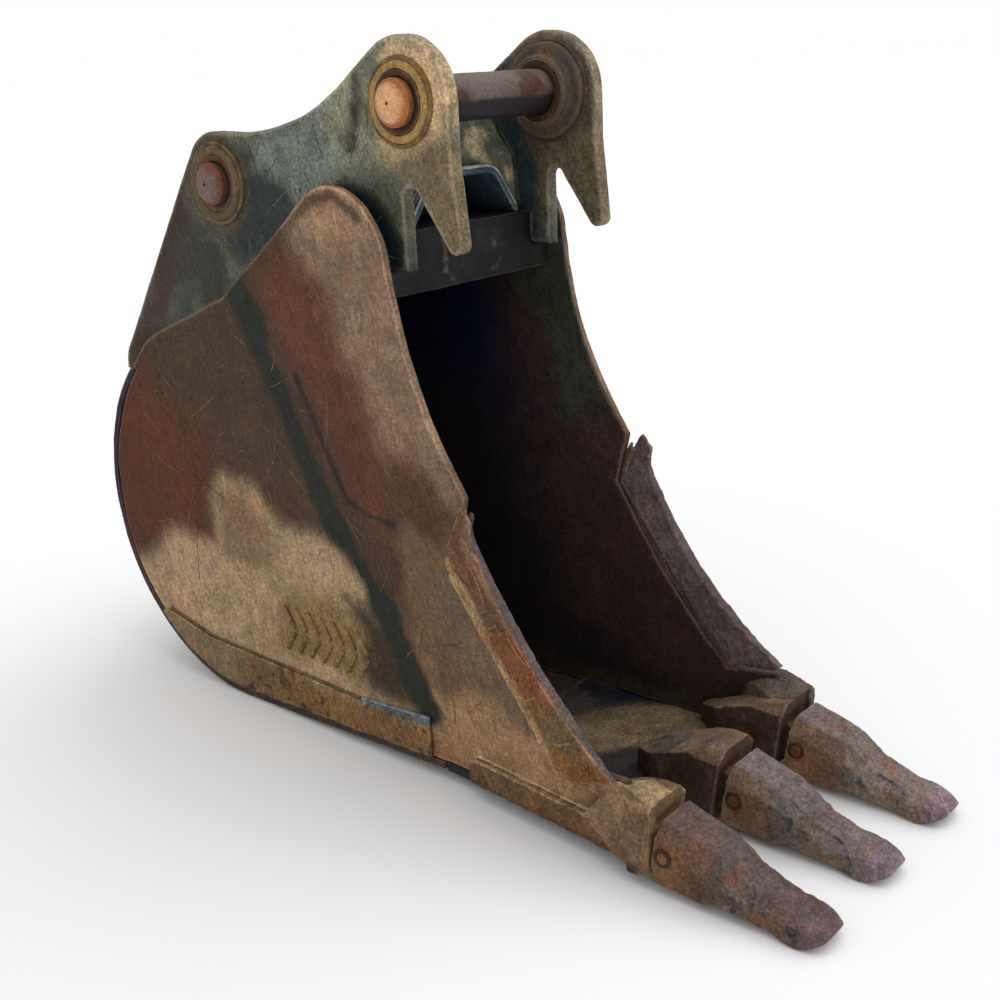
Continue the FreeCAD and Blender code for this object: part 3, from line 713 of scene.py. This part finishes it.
def sheet_piece(node, route, thickness, start_half, end_half, tint, seed):
    """Sheet swept along a line of (x, z) points, with its half width at both ends."""
    length = along_line(route, np.zeros(1))[2]

    def place(uvw):
        at, right, _ = along_line(route, uvw[:, 0])
        at = at + right * (thickness - uvw[:, 2])[:, None]
        return np.c_[at[:, 0], uvw[:, 1], at[:, 1]]

    loop = np.array([(0, -start_half), (length, -end_half), (length, end_half), (0, start_half)])
    return plate_piece(node, 0, thickness, 0.012, 0.0025, place, tint, PLATE, 0.001, seed, loops=[loop])


def wrapper_line():
    heel, radius = np.array(HEEL) / MM, HEEL_RADIUS / MM
    end = np.array([95.0, 24.6])
    gap = end - heel
    turn = math.atan2(gap[1], gap[0]) - math.acos(radius / np.linalg.norm(gap))
    angles = np.arange(turn, -math.radians(225), -math.radians(1.5))
    arc = [heel + radius * np.array([math.cos(a), math.sin(a)]) for a in angles]
    last = heel + (radius * np.array([-1, 1]) + 4) * math.sqrt(0.5)
    return np.array([end] + arc + [last]) * MM


def inside_of_wrapper(points):
    x, z = points[:, 0], points[:, 2]
    return np.where(x > HEEL[0], z > 0.008, np.hypot(x - HEEL[0], z - HEEL[1]) < HEEL_RADIUS - 0.007)


def wrapper_tint(points, normals):
    x, z = points[:, 0], points[:, 2]
    out = layered(points, "3d2f27", [
        (smooth(z, 0.25, 0.5), "51311d", 0.3),
        (smooth(z, 0.5, 0.7), "5a4a38", 0.3),
        (smooth(-z, -0.05, 0.0), "4c4136", 0.3),
    ], 70)
    inner = layered(points, "262024", [
        # Painted shade: near-black blue on the upper inside of the wrapper, for the shadow in the bucket.
        (smooth(z, 0.2, 0.6), "020f36", 0.2),
        (smooth(-z, -0.1, -0.03), "342c26", 0.3),
        (smooth(x, -0.25, 0.05) * smooth(-z, -0.1, -0.04), "3b3129", 0.3),
    ], 80)
    return np.where(inside_of_wrapper(points)[:, None], inner, out)


sheet_piece("back_wrapper", wrapper_line(), 0.014, 0.224, 0.224, wrapper_tint, 41)


def top_tint(points, normals):
    up = normals[:, 2] > -0.2
    out = layered(points, "4b4335", [(smooth(fractal(points, 0.2, 5), 0, 0.8), "5f5040", 0.3)], 90)
    # Painted shade: the underside, which faces into the bucket, is near-black blue.
    inner = layered(points, "040f28", [(smooth(fractal(points, 0.3, 5), 0, 0.8), "100f13", 0.3)], 91)
    return np.where(up[:, None], out, inner)


TOP_LINE = rounded([(-783.7, 693.6, 0), (-712, 762, 120), (-443, 871, 200), (-229, 1039, 150),
                    (-111.7, 1081.4, 0)])
sheet_piece("top_sheet", TOP_LINE, 0.012, 0.2055, 0.227, top_tint, 43)


# ---- Torque box, pocket and well between the ears ----
def plain_tint(base, other, seed, size=0.12):
    def tint(points, normals):
        return layered(points, base, [(smooth(fractal(points, size, seed), -0.1, 0.7), other, 0.3)], seed)
    return tint


# Painted shade: the front cross beam is near black for the shadow it lies in between the ears, with lighter
# patches over it.
def beam_painted_shade_tint(points, normals):
    y, z = points[:, 1], points[:, 2]
    return layered(points, "09080a", [
        (smooth(z, 0.985, 1.01), "0c0c0f", 0.3),
        (smooth(-z, -0.965, -0.92), "09070a", 0.3),
        (smooth(fractal(points, 0.09, 5), 0.1, 0.8), "292019", 0.3),
        (smooth(fractal(points, 0.045, 9), 0.35, 0.8), "4d4844", 0.5),
        (smooth(np.abs(y), 0.17, 0.2), "171916", 0.3),
    ], 14)


casting("cross_beam_front", 0.0035, 0.0008, 101, beam_painted_shade_tint, EAR)
# Painted shade: the floor beam, pocket ledge and pocket back are near-black blue for the shade between the
# ears.
casting("cross_beam_floor", 0.004, 0.0006, 102, plain_tint("0c0f14", "17151a", 3), INNER)
casting("pocket_ledge", 0.004, 0.0006, 103, plain_tint("0f1318", "1a1a1b", 4), INNER)
casting("pocket_back", 0.004, 0.0006, 104, plain_tint("12171b", "1c1c1c", 5), INNER)
casting("pocket_hood", 0.003, 0.0006, 105, plain_tint("33444f", "5a5c5c", 6), EAR)
casting("well_plate", 0.003, 0.0010, 106, plain_tint("5f6555", "a89878", 7, 0.04), EAR)


# ---- Lip, cutters, shrouds and heel wear plates ----
def lip_tint(points, normals):
    plan = points[:, [0, 1]]
    return layered(points, "3d3636", [
        (area(plan, [(150, -40), (210, 120), (250, 195), (325, 240), (500, 225), (530, 200), (440, 110),
         (350, 40), (260, -60)], 22), "806e54", 0.3),
        # Painted shadow: a near-black blue patch on the lip by the far side plate.
        (area(plan, [(80, 180), (180, 150), (240, 205), (300, 245), (300, 260), (80, 260)], 22), "141a28",
         0.5),
        (smooth(-points[:, 1], -0.02, 0.1), "2d2a2c", 0.4),
        (smooth(points[:, 0], 0.45, 0.5), "5c4c41", 0.4),
    ], 21)


casting("lip_plate", 0.004, 0.0012, 111, lip_tint, GOUGED)


def cutter_tint(points, normals):
    flat = points[:, [0, 2]]
    outer = normals[:, 1] * np.sign(points[:, 1]) > 0.2
    out = layered(points, "6b4c35", [
        # Light band along the rear edge: edge wear, and a painted highlight where the step catches the light.
        (line(flat, [(160, 470), (400, 150), (440, 140)], 16, 10), "a58a62", 0.5),
        (line(flat, [(229, 562), (226, 525), (341, 343), (531, 170)], 18, 12), "8b684e", 0.4),
        (area(flat, [(250, 370), (330, 370), (420, 250), (340, 240)], 22), "7f4d2c", 0.5),
        (area(flat, [(330, 290), (430, 260), (480, 190), (400, 150)], 25), "6e5c3a", 0.6),
        (area(flat, [(400, 190), (540, 190), (540, 130), (420, 130)], 20), "7d542a", 0.5),
    ], 31)
    inner = layered(points, "5d5152", [(smooth(fractal(points, 0.05, 9), 0.1, 0.8), "6c5c59", 0.3)], 33)
    return np.where(outer[:, None], out, inner)


def cutter_dents(points, normals):
    """Wavy battered face, with shallow scabs where rust has lifted."""
    outer = smooth(np.abs(normals[:, 1]), 0.6, 0.9)
    scabs = smooth(fractal(points, 0.03, 77, 3), 0.1, 0.3)
    return -normals * (0.0014 * scabs * outer)[:, None]


def shroud_tint(points, normals):
    z = points[:, 2]
    return layered(points, "6c5034", [
        # Painted light: faces turned upwards are lighter.
        (smooth(normals[:, 2], 0.4, 0.8), "a38a63", 0.4),
        (smooth(-z, -0.05, -0.03), "5d3d28", 0.4),
        (smooth(points[:, 0], 0.5, 0.54), "745e36", 0.3),
    ], 35)


def gouges(points, normals):
    """Steep ragged gouges worn into the side of the heel."""
    x, z = points[:, 0], points[:, 2]
    side = smooth(np.abs(normals[:, 1]), 0.5, 0.9)
    slant = np.c_[x + z * 0.25, np.zeros_like(x), z * 0.25]
    low = smooth(-z, -0.10, -0.06) * smooth(x, -0.62, -0.42)
    depth = 0.0030 * smooth(lattice(slant, 0.011, 5), 0.0, 0.7) * low
    depth += 0.0012 * smooth(fractal(points, 0.03, 15), 0.1, 0.7)
    return -normals * (side * depth)[:, None]


def heel_tint(points, normals):
    flat = points[:, [0, 2]]
    return layered(points, "836e4e", [
        (area(flat, [(-460, 100), (70, 100), (70, 20), (-460, 20)], 18), "83623b", 0.4),
        # Painted highlight: a blue-grey strip along the top edge of the heel wear plate, where it catches the
        # light.
        (area(flat, [(-140, 125), (70, 125), (70, 108), (-140, 98)], 4), "5d666b", 0.3),
        (smooth(-flat[:, 1], -0.03, -0.015), "4a3a2a", 0.3),
        (smooth(lattice(points, 0.011, 5), 0.2, 0.8) * smooth(flat[:, 0], -0.6, -0.4), "4f3d2a", 0.5),
    ], 37)


for tag, sign in SIDES:
    casting("side_cutter_" + tag, 0.003, 0.0016, 121 + sign, cutter_tint, CAST, cutter_dents)
    casting("corner_shroud_" + tag, 0.0028, 0.0020, 131 + sign, shroud_tint, GOUGED)
    casting("heel_wear_" + tag, 0.0028, 0.0012, 141 + sign, heel_tint, GOUGED, gouges)


# ---- Adapters and teeth ----
ROW = (("near", -0.217), ("middle", 0.0), ("far", 0.217))


def adapter_tint(points, normals):
    y, z = points[:, 1], points[:, 2]
    return layered(points, "513c32", [
        # Painted light: faces turned upwards are lighter.
        (smooth(normals[:, 2], 0.3, 0.8), "765f4b", 0.4),
        (smooth(-y, 0.12, 0.18), "7a654a", 0.4),
        (smooth(-z, -0.05, -0.02), "3a2d26", 0.3),
        (smooth(fractal(points, 0.04, 12), 0.2, 0.8), "5b4f48", 0.4),
    ], 41)


def tooth_tint(seed, tone):
    def tint(points, normals):
        x = points[:, 0]
        top = smooth(normals[:, 2], 0.45, 0.85)
        tip = smooth(x, 0.845, 0.87)
        band = smooth(x, 0.69, 0.73) * (1 - tip) * smooth(normals[:, 2], -0.2, 0.3) * (1 - top)
        colours = layered(points, "644a3a", [
            (smooth(fractal(points, 0.08, seed), 0.2, 0.9), "4f3d33", 0.3),
            (smooth(-x, -0.70, -0.66) * (1 - top), "75523a", 0.2),
            (smooth(-x, -0.615, -0.595) * (1 - top), "6a5a3c", 0.3),
            (band, "6b625c", 0.5),
            (band * smooth(lattice(points, 0.016, seed + 8), 0.0, 0.5), "33373d", 0.2),
            (top, "655350", 0.35),
            (top * smooth(fractal(points, 0.05, seed + 4), 0.1, 0.6), "6e4a3c", 0.4),
            (tip, "6d565b", 0.2),
        ], seed)
        # The tone is painted light: a brightness for each copy of the tooth.
        return colours * tone
    return tint


TIP_BACK, TIP_REACH, NIB_X = 0.862, 0.041, 0.8965
TIP_HALF, RIB_PITCH = 0.046, 0.019


def tooth_shape(centre, seed):
    """Worn scallops down the flanks, shallow ribs along the top and a thin rounded tip."""
    def shape(points, normals):
        x, y, z = points.T
        worn = smooth(x, 0.69, 0.73) * (1 - smooth(x, 0.84, 0.86))
        flank = smooth(np.abs(normals[:, 1]), 0.25, 0.6) * smooth(normals[:, 2], -0.3, 0.2)
        scallop = np.abs(lattice(points * (1, 0.4, 1), 0.024, seed))
        scallop += 0.4 * np.abs(lattice(points, 0.011, seed + 1))
        top = smooth(normals[:, 2], 0.5, 0.85)
        ribs = 0.0009 * top * worn * (0.5 + 0.5 * np.cos((y - centre) / RIB_PITCH * math.pi * 2))
        pits = 0.0011 * top * smooth(-x, -0.85, -0.8) * smooth(fractal(points, 0.022, seed + 2), 0.1, 0.6)
        moved = -normals * (0.0046 * flank * worn * scallop + ribs + pits)[:, None]
        # The section at x: its floor and top, and its half width low down and at the top.
        ahead = np.clip((x - TIP_BACK) / TIP_REACH, 0, 1)
        floor_z, top_z = 0.022 * ahead, 0.048 - 0.002 * ahead
        high = np.clip((z - floor_z) / (top_z - floor_z), 0, 1)
        low_half, top_half = 0.038 - 0.018 * ahead, 0.024 - 0.012 * ahead
        half = low_half + (top_half - low_half) * np.clip((z - 0.035) / 0.012, 0, 1)
        # The worn section: wide, thin and round in plan.
        round_off = np.clip((x - 0.868) / 0.036, 0, 1)
        wanted = TIP_HALF * np.sqrt(1 - 0.86 * round_off ** 2) * (1 - 0.10 * high ** 2)
        near_tip = smooth(x, 0.805, 0.855)
        across = np.clip(np.abs(y - centre) / half, 0, 1)
        moved[:, 1] += (y - centre) * (wanted / half - 1) * near_tip
        top_now = 0.043 - 0.014 * ahead - 0.003 * (1 - across) * near_tip - 0.007 * across ** 4
        moved[:, 2] += (floor_z + high * (top_now - floor_z) - z) * near_tip
        moved[:, 0] -= 0.55 * np.clip(x - NIB_X, 0, 1)
        return moved
    return shape


# Painted light and shade: the same tooth is tinted brighter and bluer on the middle and far copies, as it is
# lit there.
PAINTED_LIGHT_TONES = {"near": (1.02, 1.06, 1.06), "middle": (1.4, 1.65, 1.75), "far": (1.6, 1.8, 1.8)}


def lump(name, hulls, voxel, rough, seed, tint, material):
    """Uneven built-up metal: convex blocks merged, smoothed and roughened."""
    shape = bmesh.new()
    for hull in hulls:
        corners = [shape.verts.new(p) for p in hull]
        hidden = bmesh.ops.convex_hull(shape, input=corners)["geom_interior"]
        hidden = [v for v in hidden if isinstance(v, bmesh.types.BMVert)]
        bmesh.ops.delete(shape, geom=hidden, context="VERTS")
    mesh = bpy.data.meshes.new(name + "_skin")
    shape.to_mesh(mesh)
    shape.free()
    skin, edge = skinned(mesh, voxel, 9)
    points, normals = arrays(skin)
    lift = rough * (fractal(points, 0.03, seed, 3) + 0.4 * fractal(points, 0.008, seed + 3, 2)) - rough * 0.4
    set_points(skin, np.clip(points + normals * lift[:, None], cad_low, cad_high))
    points, normals = arrays(skin)
    return dress(name, skin, "bucket", material, tint(points, normals), edge)


def buildup_tint(points, normals):
    return layered(points, "8a6f50", [
        # Painted light: faces turned upwards are lighter.
        (smooth(normals[:, 2], 0.3, 0.8), "a08a69", 0.4),
        (smooth(-points[:, 2], -0.07, -0.04), "7a583a", 0.4),
        (smooth(fractal(points, 0.03, 5), 0.1, 0.6), "715c44", 0.4),
        (smooth(points[:, 1], 0.0, 0.1), "5d5148", 0.2),
    ], 45)


BUILDUP_FACE = [(0.440, 0.256, 0.075), (0.500, 0.262, 0.150), (0.597, 0.256, 0.152), (0.597, 0.278, 0.146),
                (0.597, 0.278, 0.028), (0.555, 0.278, 0.026), (0.520, 0.277, 0.045), (0.515, 0.272, 0.150),
                (0.597, 0.246, 0.030), (0.540, 0.250, 0.030)]
BUILDUP_CROWN = [(0.450, 0.250, 0.140), (0.500, 0.266, 0.166), (0.540, 0.268, 0.172), (0.597, 0.268, 0.153),
                 (0.597, 0.205, 0.153), (0.550, 0.184, 0.148), (0.515, 0.205, 0.100), (0.440, 0.236, 0.080)]
for tag, sign in SIDES:
    hulls = [[(x, sign * y, z) for x, y, z in hull] for hull in (BUILDUP_FACE, BUILDUP_CROWN)]
    lump("corner_buildup_" + tag, hulls, 0.003, 0.0022, 361, buildup_tint, GOUGED)

for k, (tag, y) in enumerate(ROW):
    tone = np.array(PAINTED_LIGHT_TONES[tag])
    casting("adapter_" + tag, 0.003, 0.0014, 151 + k, adapter_tint, CAST)
    casting("tooth_" + tag, 0.0023, 0.0007, 161 + 5 * k, tooth_tint(171 + 5 * k, tone), CAST,
            tooth_shape(y, 181 + 5 * k), rounds=1)
    casting("lock_pin_" + tag, 0.0012, 0.0002, 191 + k, plain_tint("6b4728", "7a5433", 3, 0.01), PIN,
            rounds=1)
    casting("lock_ring_" + tag, 0.0009, 0.0001, 195 + k, plain_tint("3a281c", "4a3525", 3, 0.01), RUBBER,
            rounds=1)


# ---- Bosses, bushes and hinge pins ----
BOSSES = (("outer_boss_front_", 201, "a5854f", "8a7248"), ("outer_boss_rear_", 211, "5a4a32", "6d5a3c"),
          ("inner_boss_front_", 221, "62513f", "524a40"), ("inner_boss_rear_", 231, "4b3d33", "5a4a3a"))
for kind, seed, base, other in BOSSES:
    for tag, sign in SIDES:
        casting(kind + tag, 0.0025, 0.0008, seed + sign, plain_tint(base, other, seed, 0.05), BEAD)
for end in ("front_", "rear_"):
    for tag, sign in SIDES:
        casting("bush_" + end + tag, 0.002, 0.0002, 241 + sign, plain_tint("3a281f", "553a28", 241, 0.05),
                PIN, rounds=1)


def pin_shape(node):
    """Domed and chamfered pin ends."""
    low, high = [np.array(v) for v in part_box(node)]
    centre, reach = (low + high) / 2, (high[1] - low[1]) / 2

    def shape(points, normals):
        from_axis = (points - centre) * (1, 0, 1)
        ahead = np.clip((np.abs(points[:, 1] - centre[1]) - reach + 0.013) / 0.012, 0, 1)
        moved = -from_axis * (0.34 * ahead)[:, None]
        moved[:, 1] -= np.sign(points[:, 1]) * 0.0015 * (np.abs(normals[:, 1]) > 0.8) \
            * smooth(np.linalg.norm(from_axis, axis=1), 0.012, 0.03)
        return moved
    return shape


def pin_tint(end, rim, body):
    def tint(points, normals):
        y = points[:, 1]
        outer = smooth(np.abs(y), 0.213, 0.222)
        return layered(points, body, [
            (smooth(fractal(points, 0.06, 8), 0.0, 0.8), "4d3128", 0.3),
            # Painted shade: the pin's underside between the ears is near black.
            (smooth(-normals[:, 2], -0.1, 0.25) * (np.abs(y) < 0.15), "231a1c", 0.3),
            (outer, end, 0.1),
            # Painted shade: the chamfer round the pin's end is darker than its flat face.
            (outer * smooth(-np.abs(normals[:, 1]), -0.93, -0.75), rim, 0.2),
        ], 43)
    return tint


for node, seed, *codes in (("front_pin", 251, "d8a878", "a5673c", "635650"),
                           ("rear_pin", 252, "6f5a55", "68402c", "4c3f3c")):
    pin = casting(node, 0.0024, 0.0005, seed, pin_tint(*codes), PIN, pin_shape(node))
    pin.data.set_sharp_from_angle(angle=math.radians(24))


# ---- Weld beads ----
def evenly(points, step, closed):
    points = np.asarray(points, float)
    if closed:
        points = np.vstack([points, points[:1]])
    lengths = np.r_[0, np.cumsum(np.linalg.norm(np.diff(points, axis=0), axis=1))]
    count = max(2, int(lengths[-1] / step))
    run = np.linspace(0, lengths[-1], count + (0 if closed else 1), endpoint=not closed)
    return np.stack([np.interp(run, lengths, points[:, k]) for k in range(3)], 1), run


def beads(name, runs, radius, base, other, seed, closed=False, wear=0.3, step=None, sides=9):
    """Rippled weld runs as one piece of the bucket; each run is a list of points in metres."""
    verts, faces = [], []
    for number, points in enumerate(runs):
        centre, run = evenly(points, step or radius * 0.45, closed)
        way = np.roll(centre, -1, axis=0) - np.roll(centre, 1, axis=0)
        if not closed:
            way[0], way[-1] = centre[1] - centre[0], centre[-1] - centre[-2]
        way /= np.linalg.norm(way, axis=1)[:, None]
        side = np.cross(way, (0.13, 0.31, 0.94))
        side /= np.linalg.norm(side, axis=1)[:, None]
        lift = np.cross(side, way)
        phase = (run / (radius * 1.5) + lattice(centre, 0.05, seed)) % 1
        size = radius * (0.82 + 0.22 * np.sqrt(phase) + 0.14 * lattice(centre, 0.012, seed + number))
        if not closed:
            ends = np.minimum(run, run[-1] - run) / radius
            size = size * np.sqrt(np.clip(ends, 0.02, 1))
        first = sum(len(v) for v in verts)
        for k in range(sides):
            angle = 2 * math.pi * k / sides
            verts.append(centre + size[:, None] * (math.cos(angle) * side + math.sin(angle) * lift))
        n = len(centre)
        for k in range(sides):
            a, b = first + k * n, first + (k + 1) % sides * n
            last = n if closed else n - 1
            faces += [(a + i, a + (i + 1) % n, b + (i + 1) % n, b + i) for i in range(last)]
        if not closed:
            faces.append(tuple(first + k * n for k in range(sides)))
            faces.append(tuple(first + k * n + n - 1 for k in reversed(range(sides))))
    mesh = bpy.data.meshes.new(name)
    mesh.from_pydata(np.vstack(verts), [], faces)
    mesh.update()
    outward(mesh)
    points = arrays(mesh)[0]
    tint = layered(points, base, [(smooth(fractal(points, 0.02, seed), 0, 0.7), other, 0.3)], seed)
    return dress(name, mesh, "bucket", BEAD, tint, np.full(len(points), wear))


def ring(x, z, y, radius):
    angles = np.radians(np.linspace(0, 360, 64, endpoint=False))
    return [(x + radius * math.cos(a), y, z + radius * math.sin(a)) for a in angles]


def scores(name, piece, count, low, high, radius, slot, base, other, seed, longest=0.12, lean=(35, -30, 80)):
    """Curved burrs of old scratches lying on a piece's outer face; low and high are (x, z)."""
    rng = np.random.default_rng(seed)
    points, _ = arrays(piece.data)
    skin = BVHTree.FromPolygons(points.tolist(), [tuple(p.vertices) for p in piece.data.polygons])
    side = np.sign(points[:, 1].mean())
    runs = []
    while len(runs) < count:
        start = rng.uniform(low, high)
        angle = math.radians(rng.choice(lean) + rng.normal(0, 9))
        length = 0.012 + longest * rng.random() ** 3
        bow = rng.normal(0, 0.045)
        run = []
        for t in np.linspace(0, 1, 12):
            ahead, off = (t - 0.5) * length, bow * length * (1 - (2 * t - 1) ** 2)
            x = start[0] + ahead * math.cos(angle) - off * math.sin(angle)
            z = start[1] + ahead * math.sin(angle) + off * math.cos(angle)
            hit = skin.ray_cast(Vector((x, side * 0.5, z)), Vector((0, -side, 0)))
            if hit[0] is None or abs(hit[0].y) < 0.15:
                break
            run.append(tuple(hit[0] + hit[1] * radius * 0.15 * side * np.sign(hit[1].y)))
        if len(run) == 12:
            runs.append(run)
    return beads(name, runs, radius, base, other, seed, wear=0.2, step=0.003, sides=5)


# Outlines in metres, as (x, z) on a side plate or (x, y, z) with y outwards.
CUTTER_REAR = [(0.197, 0.572), (0.163, 0.500), (0.156, 0.468), (0.166, 0.440), (0.280, 0.293), (0.394, 0.147),
               (0.437, 0.139)]
CORNER = [(0.204, 0.566), (0.186, 0.520), (0.180, 0.488), (0.425, 0.162), (0.470, 0.160), (0.538, 0.166)]
SHROUD_TOP = [(0.172, 0.078), (0.186, 0.085), (0.36, 0.083), (0.535, 0.081)]
HEEL_FRONT = [(-0.128, 0.2225, 0.1055), (0.061, 0.2235, 0.1205)]
HEEL_REAR = [(-0.745, 0.2215, 0.143), (-0.60, 0.2215, 0.113), (-0.132, 0.2215, 0.1045)]
INNER_SEAM = [(HEEL[0] + 0.389 * math.cos(a), 0.2045, HEEL[1] + 0.389 * math.sin(a))
              for a in np.radians(np.arange(232, 273, 4))] + [(-0.30, 0.2045, 0.018), (0.09, 0.212, 0.036)]
BEAM_END = [[(0.009, 0.179, 0.960), (0.009, 0.179, 1.018)],
            [(-0.020, 0.178, 1.022), (-0.0300, 0.178, 1.12), (-0.062, 0.178, 1.165)]]
SCRATCHES = (   # name, scratched piece, count, low, high, radius, slot, colours, seed, longest, lean
    ("side_scratches_", "side_plate_", 70, (-0.88, 0.10), (0.40, 1.05), 0.0005, "shell_steel",
     "927754", "7a6146", 341, 0.12, (35, -30, 80)),
    ("side_scores_", "side_plate_", 18, (-0.80, 0.14), (0.40, 1.05), 0.0006, "shell_steel",
     "38291f", "453226", 343, 0.16, (35, -30, 80)),
    ("ear_scratches_", "ear_plate_", 30, (-0.55, 0.95), (0.15, 1.33), 0.0005, "hanger_steel",
     "8c8468", "6b6650", 345, 0.12, (35, -30, 80)),
    ("ear_scores_", "ear_plate_", 26, (-0.50, 0.95), (0.10, 1.25), 0.0006, "hanger_steel",
     "2a302c", "2f2f28", 347, 0.07, (60, 100)),
    ("cutter_scores_", "side_cutter_", 14, (0.17, 0.15), (0.50, 0.55), 0.0008, "cutter_steel",
     "3c2a1d", "4a3424", 349, 0.05, (-50, 20, -80)),
    ("cutter_scratches_", "side_cutter_", 24, (0.17, 0.15), (0.50, 0.55), 0.0005, "cutter_steel",
     "b09672", "967a58", 351, 0.10, (-55, 30, 70)),
)


def on_side(sign, outline, lift=0.0):
    """Points of a side plate's outer face, lifted off it."""
    return [(x, sign * (SIDE_FACE + lift + float(flared(np.array(x), np.array(z)))), z) for x, z in outline]


def on(sign, outline):
    return [(x, sign * y, z) for x, y, z in outline]


for tag, sign in SIDES:
    outer, inner = sign * 0.2065, sign * 0.1785
    beads("boss_weld_front_" + tag, [ring(*FRONT, outer, 0.0695)], 0.0048, "7c6238", "5d4c34",
          301, closed=True)
    beads("boss_weld_rear_" + tag, [ring(*REAR, outer, 0.0735)], 0.0045, "6a5c3d", "4a4233",
          303, closed=True)
    beads("boss_weld_inner_" + tag, [ring(*FRONT, inner, 0.088), ring(*REAR, inner, 0.072)], 0.0045,
          "4d4234", "5d4c3a", 305, closed=True)
    beads("cutter_weld_" + tag, [on_side(sign, CUTTER_REAR)], 0.0040, "8d7550", "7a5a3a", 307,
          wear=0.45)
    # The heel weld's blue-grey colour is a painted highlight along the heel plate's top edge.
    beads("heel_weld_painted_highlight_" + tag, [on(sign, HEEL_FRONT)], 0.0045, "5d6a70", "3c444a", 309, wear=0.6)
    beads("heel_rear_weld_" + tag, [on(sign, HEEL_REAR)], 0.0026, "6d5c45", "55452f", 311)
    beads("shroud_weld_" + tag, [on_side(sign, SHROUD_TOP)], 0.0042, "9a8765", "7a6748", 313,
          wear=0.5)
    beads("corner_seam_" + tag, [on_side(sign, CORNER, -0.0075)], 0.0068, "5c4f45", "4a4238",
          314)
    beads("inner_seam_" + tag, [on(sign, INNER_SEAM)], 0.0055, "2f2622", "3d3128", 315,
          wear=0.1)
    beads("beam_weld_" + tag, [on(sign, run) for run in BEAM_END], 0.0045, "3c3f36", "2a2f2b",
          317, wear=0.1)
    for name, piece, *rest in SCRATCHES:
        scores(name + tag, bpy.data.objects[piece + tag + "_piece"], *rest)
beads("sheet_weld", [[(-0.7845, -0.2, 0.6925), (-0.7845, 0.2, 0.6925)]], 0.004, "5a4a38",
      "4a3c2d", 319)
beads("lip_weld", [[(0.0955, -0.215, 0.0385), (0.0955, 0.215, 0.0385)]], 0.005, "3a3029",
      "4a3d32", 321, wear=0.2)
hood_path = rounded([(-141, 1032.6, 0), (-84, 1110, 40), (84, 1110, 40), (141, 1032.6, 0)])
beads("hood_welds", [[(x, y, z) for y, z in hood_path] for x in (-0.013, -0.005, 0.003)], 0.0026,
      "8c938f", "6b716c", 323, wear=0.55)

# A plain wear pattern of short crossed hardfacing beads on the side of the heel.
for tag, sign in SIDES:
    y, runs = sign * 0.2215, []
    for k in range(7):
        x = -0.345 + 0.036 * k
        runs.append([(x, y, 0.150), (x + 0.030, y, 0.196)])
        runs.append([(x + 0.030, y, 0.205), (x, y, 0.251)])
    beads("hardfacing_" + tag, runs, 0.0048, "80643f", "5d4a30", 331, wear=0.4)


# ---- Stage: pale floor, soft light and the camera ----
def floor():
    mesh = bpy.data.meshes.new("floor")
    corners = [(60 * x, 60 * y, 0) for x, y in ((-1, -1), (1, -1), (1, 1), (-1, 1))]
    mesh.from_pydata(corners, [], [(0, 1, 2, 3)])
    obj = bpy.data.objects.new("floor", mesh)
    bpy.context.scene.collection.objects.link(obj)
    s = Shade("pale_floor")
    colour = s.mix(s.noise(0.8, 3), rgb("f4f6f9"), rgb("f8fafd"))
    mesh.materials.append(s.done(colour, 0.9, 0.0, s.noise(60, 2), 0.0001))


def soft_sun(toward, strength, spread):
    light = bpy.data.lights.new("sun", "SUN")
    light.energy = strength
    light.angle = math.radians(spread)
    obj = bpy.data.objects.new("sun", light)
    obj.rotation_euler = Vector(toward).to_track_quat("-Z", "Y").to_euler()
    bpy.context.scene.collection.objects.link(obj)


def studio_world(light, backdrop):
    """Even white surroundings: a soft light for the object, and a plain white backdrop."""
    world = bpy.data.worlds.new("studio")
    world.use_nodes = True
    tree = world.node_tree
    shine = tree.nodes["Background"]
    shine.inputs["Strength"].default_value = light
    plain = tree.nodes.new("ShaderNodeBackground")
    plain.inputs["Color"].default_value = (1, 1, 1, 1)
    plain.inputs["Strength"].default_value = backdrop
    shine.inputs["Color"].default_value = (1.0, 0.985, 0.965, 1)
    chosen = tree.nodes.new("ShaderNodeMixShader")
    ray = tree.nodes.new("ShaderNodeLightPath")
    tree.links.new(ray.outputs["Is Camera Ray"], chosen.inputs[0])
    tree.links.new(shine.outputs[0], chosen.inputs[1])
    tree.links.new(plain.outputs[0], chosen.inputs[2])
    tree.links.new(chosen.outputs[0], tree.nodes["World Output"].inputs["Surface"])
    bpy.context.scene.world = world


floor()
soft_sun((-0.25, -0.45, -1.0), 1.10, 75)
studio_world(0.80, 1.0)
bpy.context.scene.view_settings.view_transform = "Standard"

CAMERA_PLACE, CAMERA_LENS = (1.66144, -1.81758, 1.32224), 48.13
FORWARD, RIGHT = Vector((-0.625449, 0.710015, -0.323563)), Vector((0.757874, 0.651435, -0.035488))
camera = bpy.data.objects.new("camera", bpy.data.cameras.new("camera"))
camera.data.sensor_width = 36
camera.data.lens = CAMERA_LENS
turn = Matrix((RIGHT, RIGHT.cross(FORWARD), -FORWARD)).transposed()
camera.matrix_world = Matrix.Translation(CAMERA_PLACE) @ turn.to_4x4()
bpy.context.scene.collection.objects.link(camera)
bpy.context.scene.camera = camera
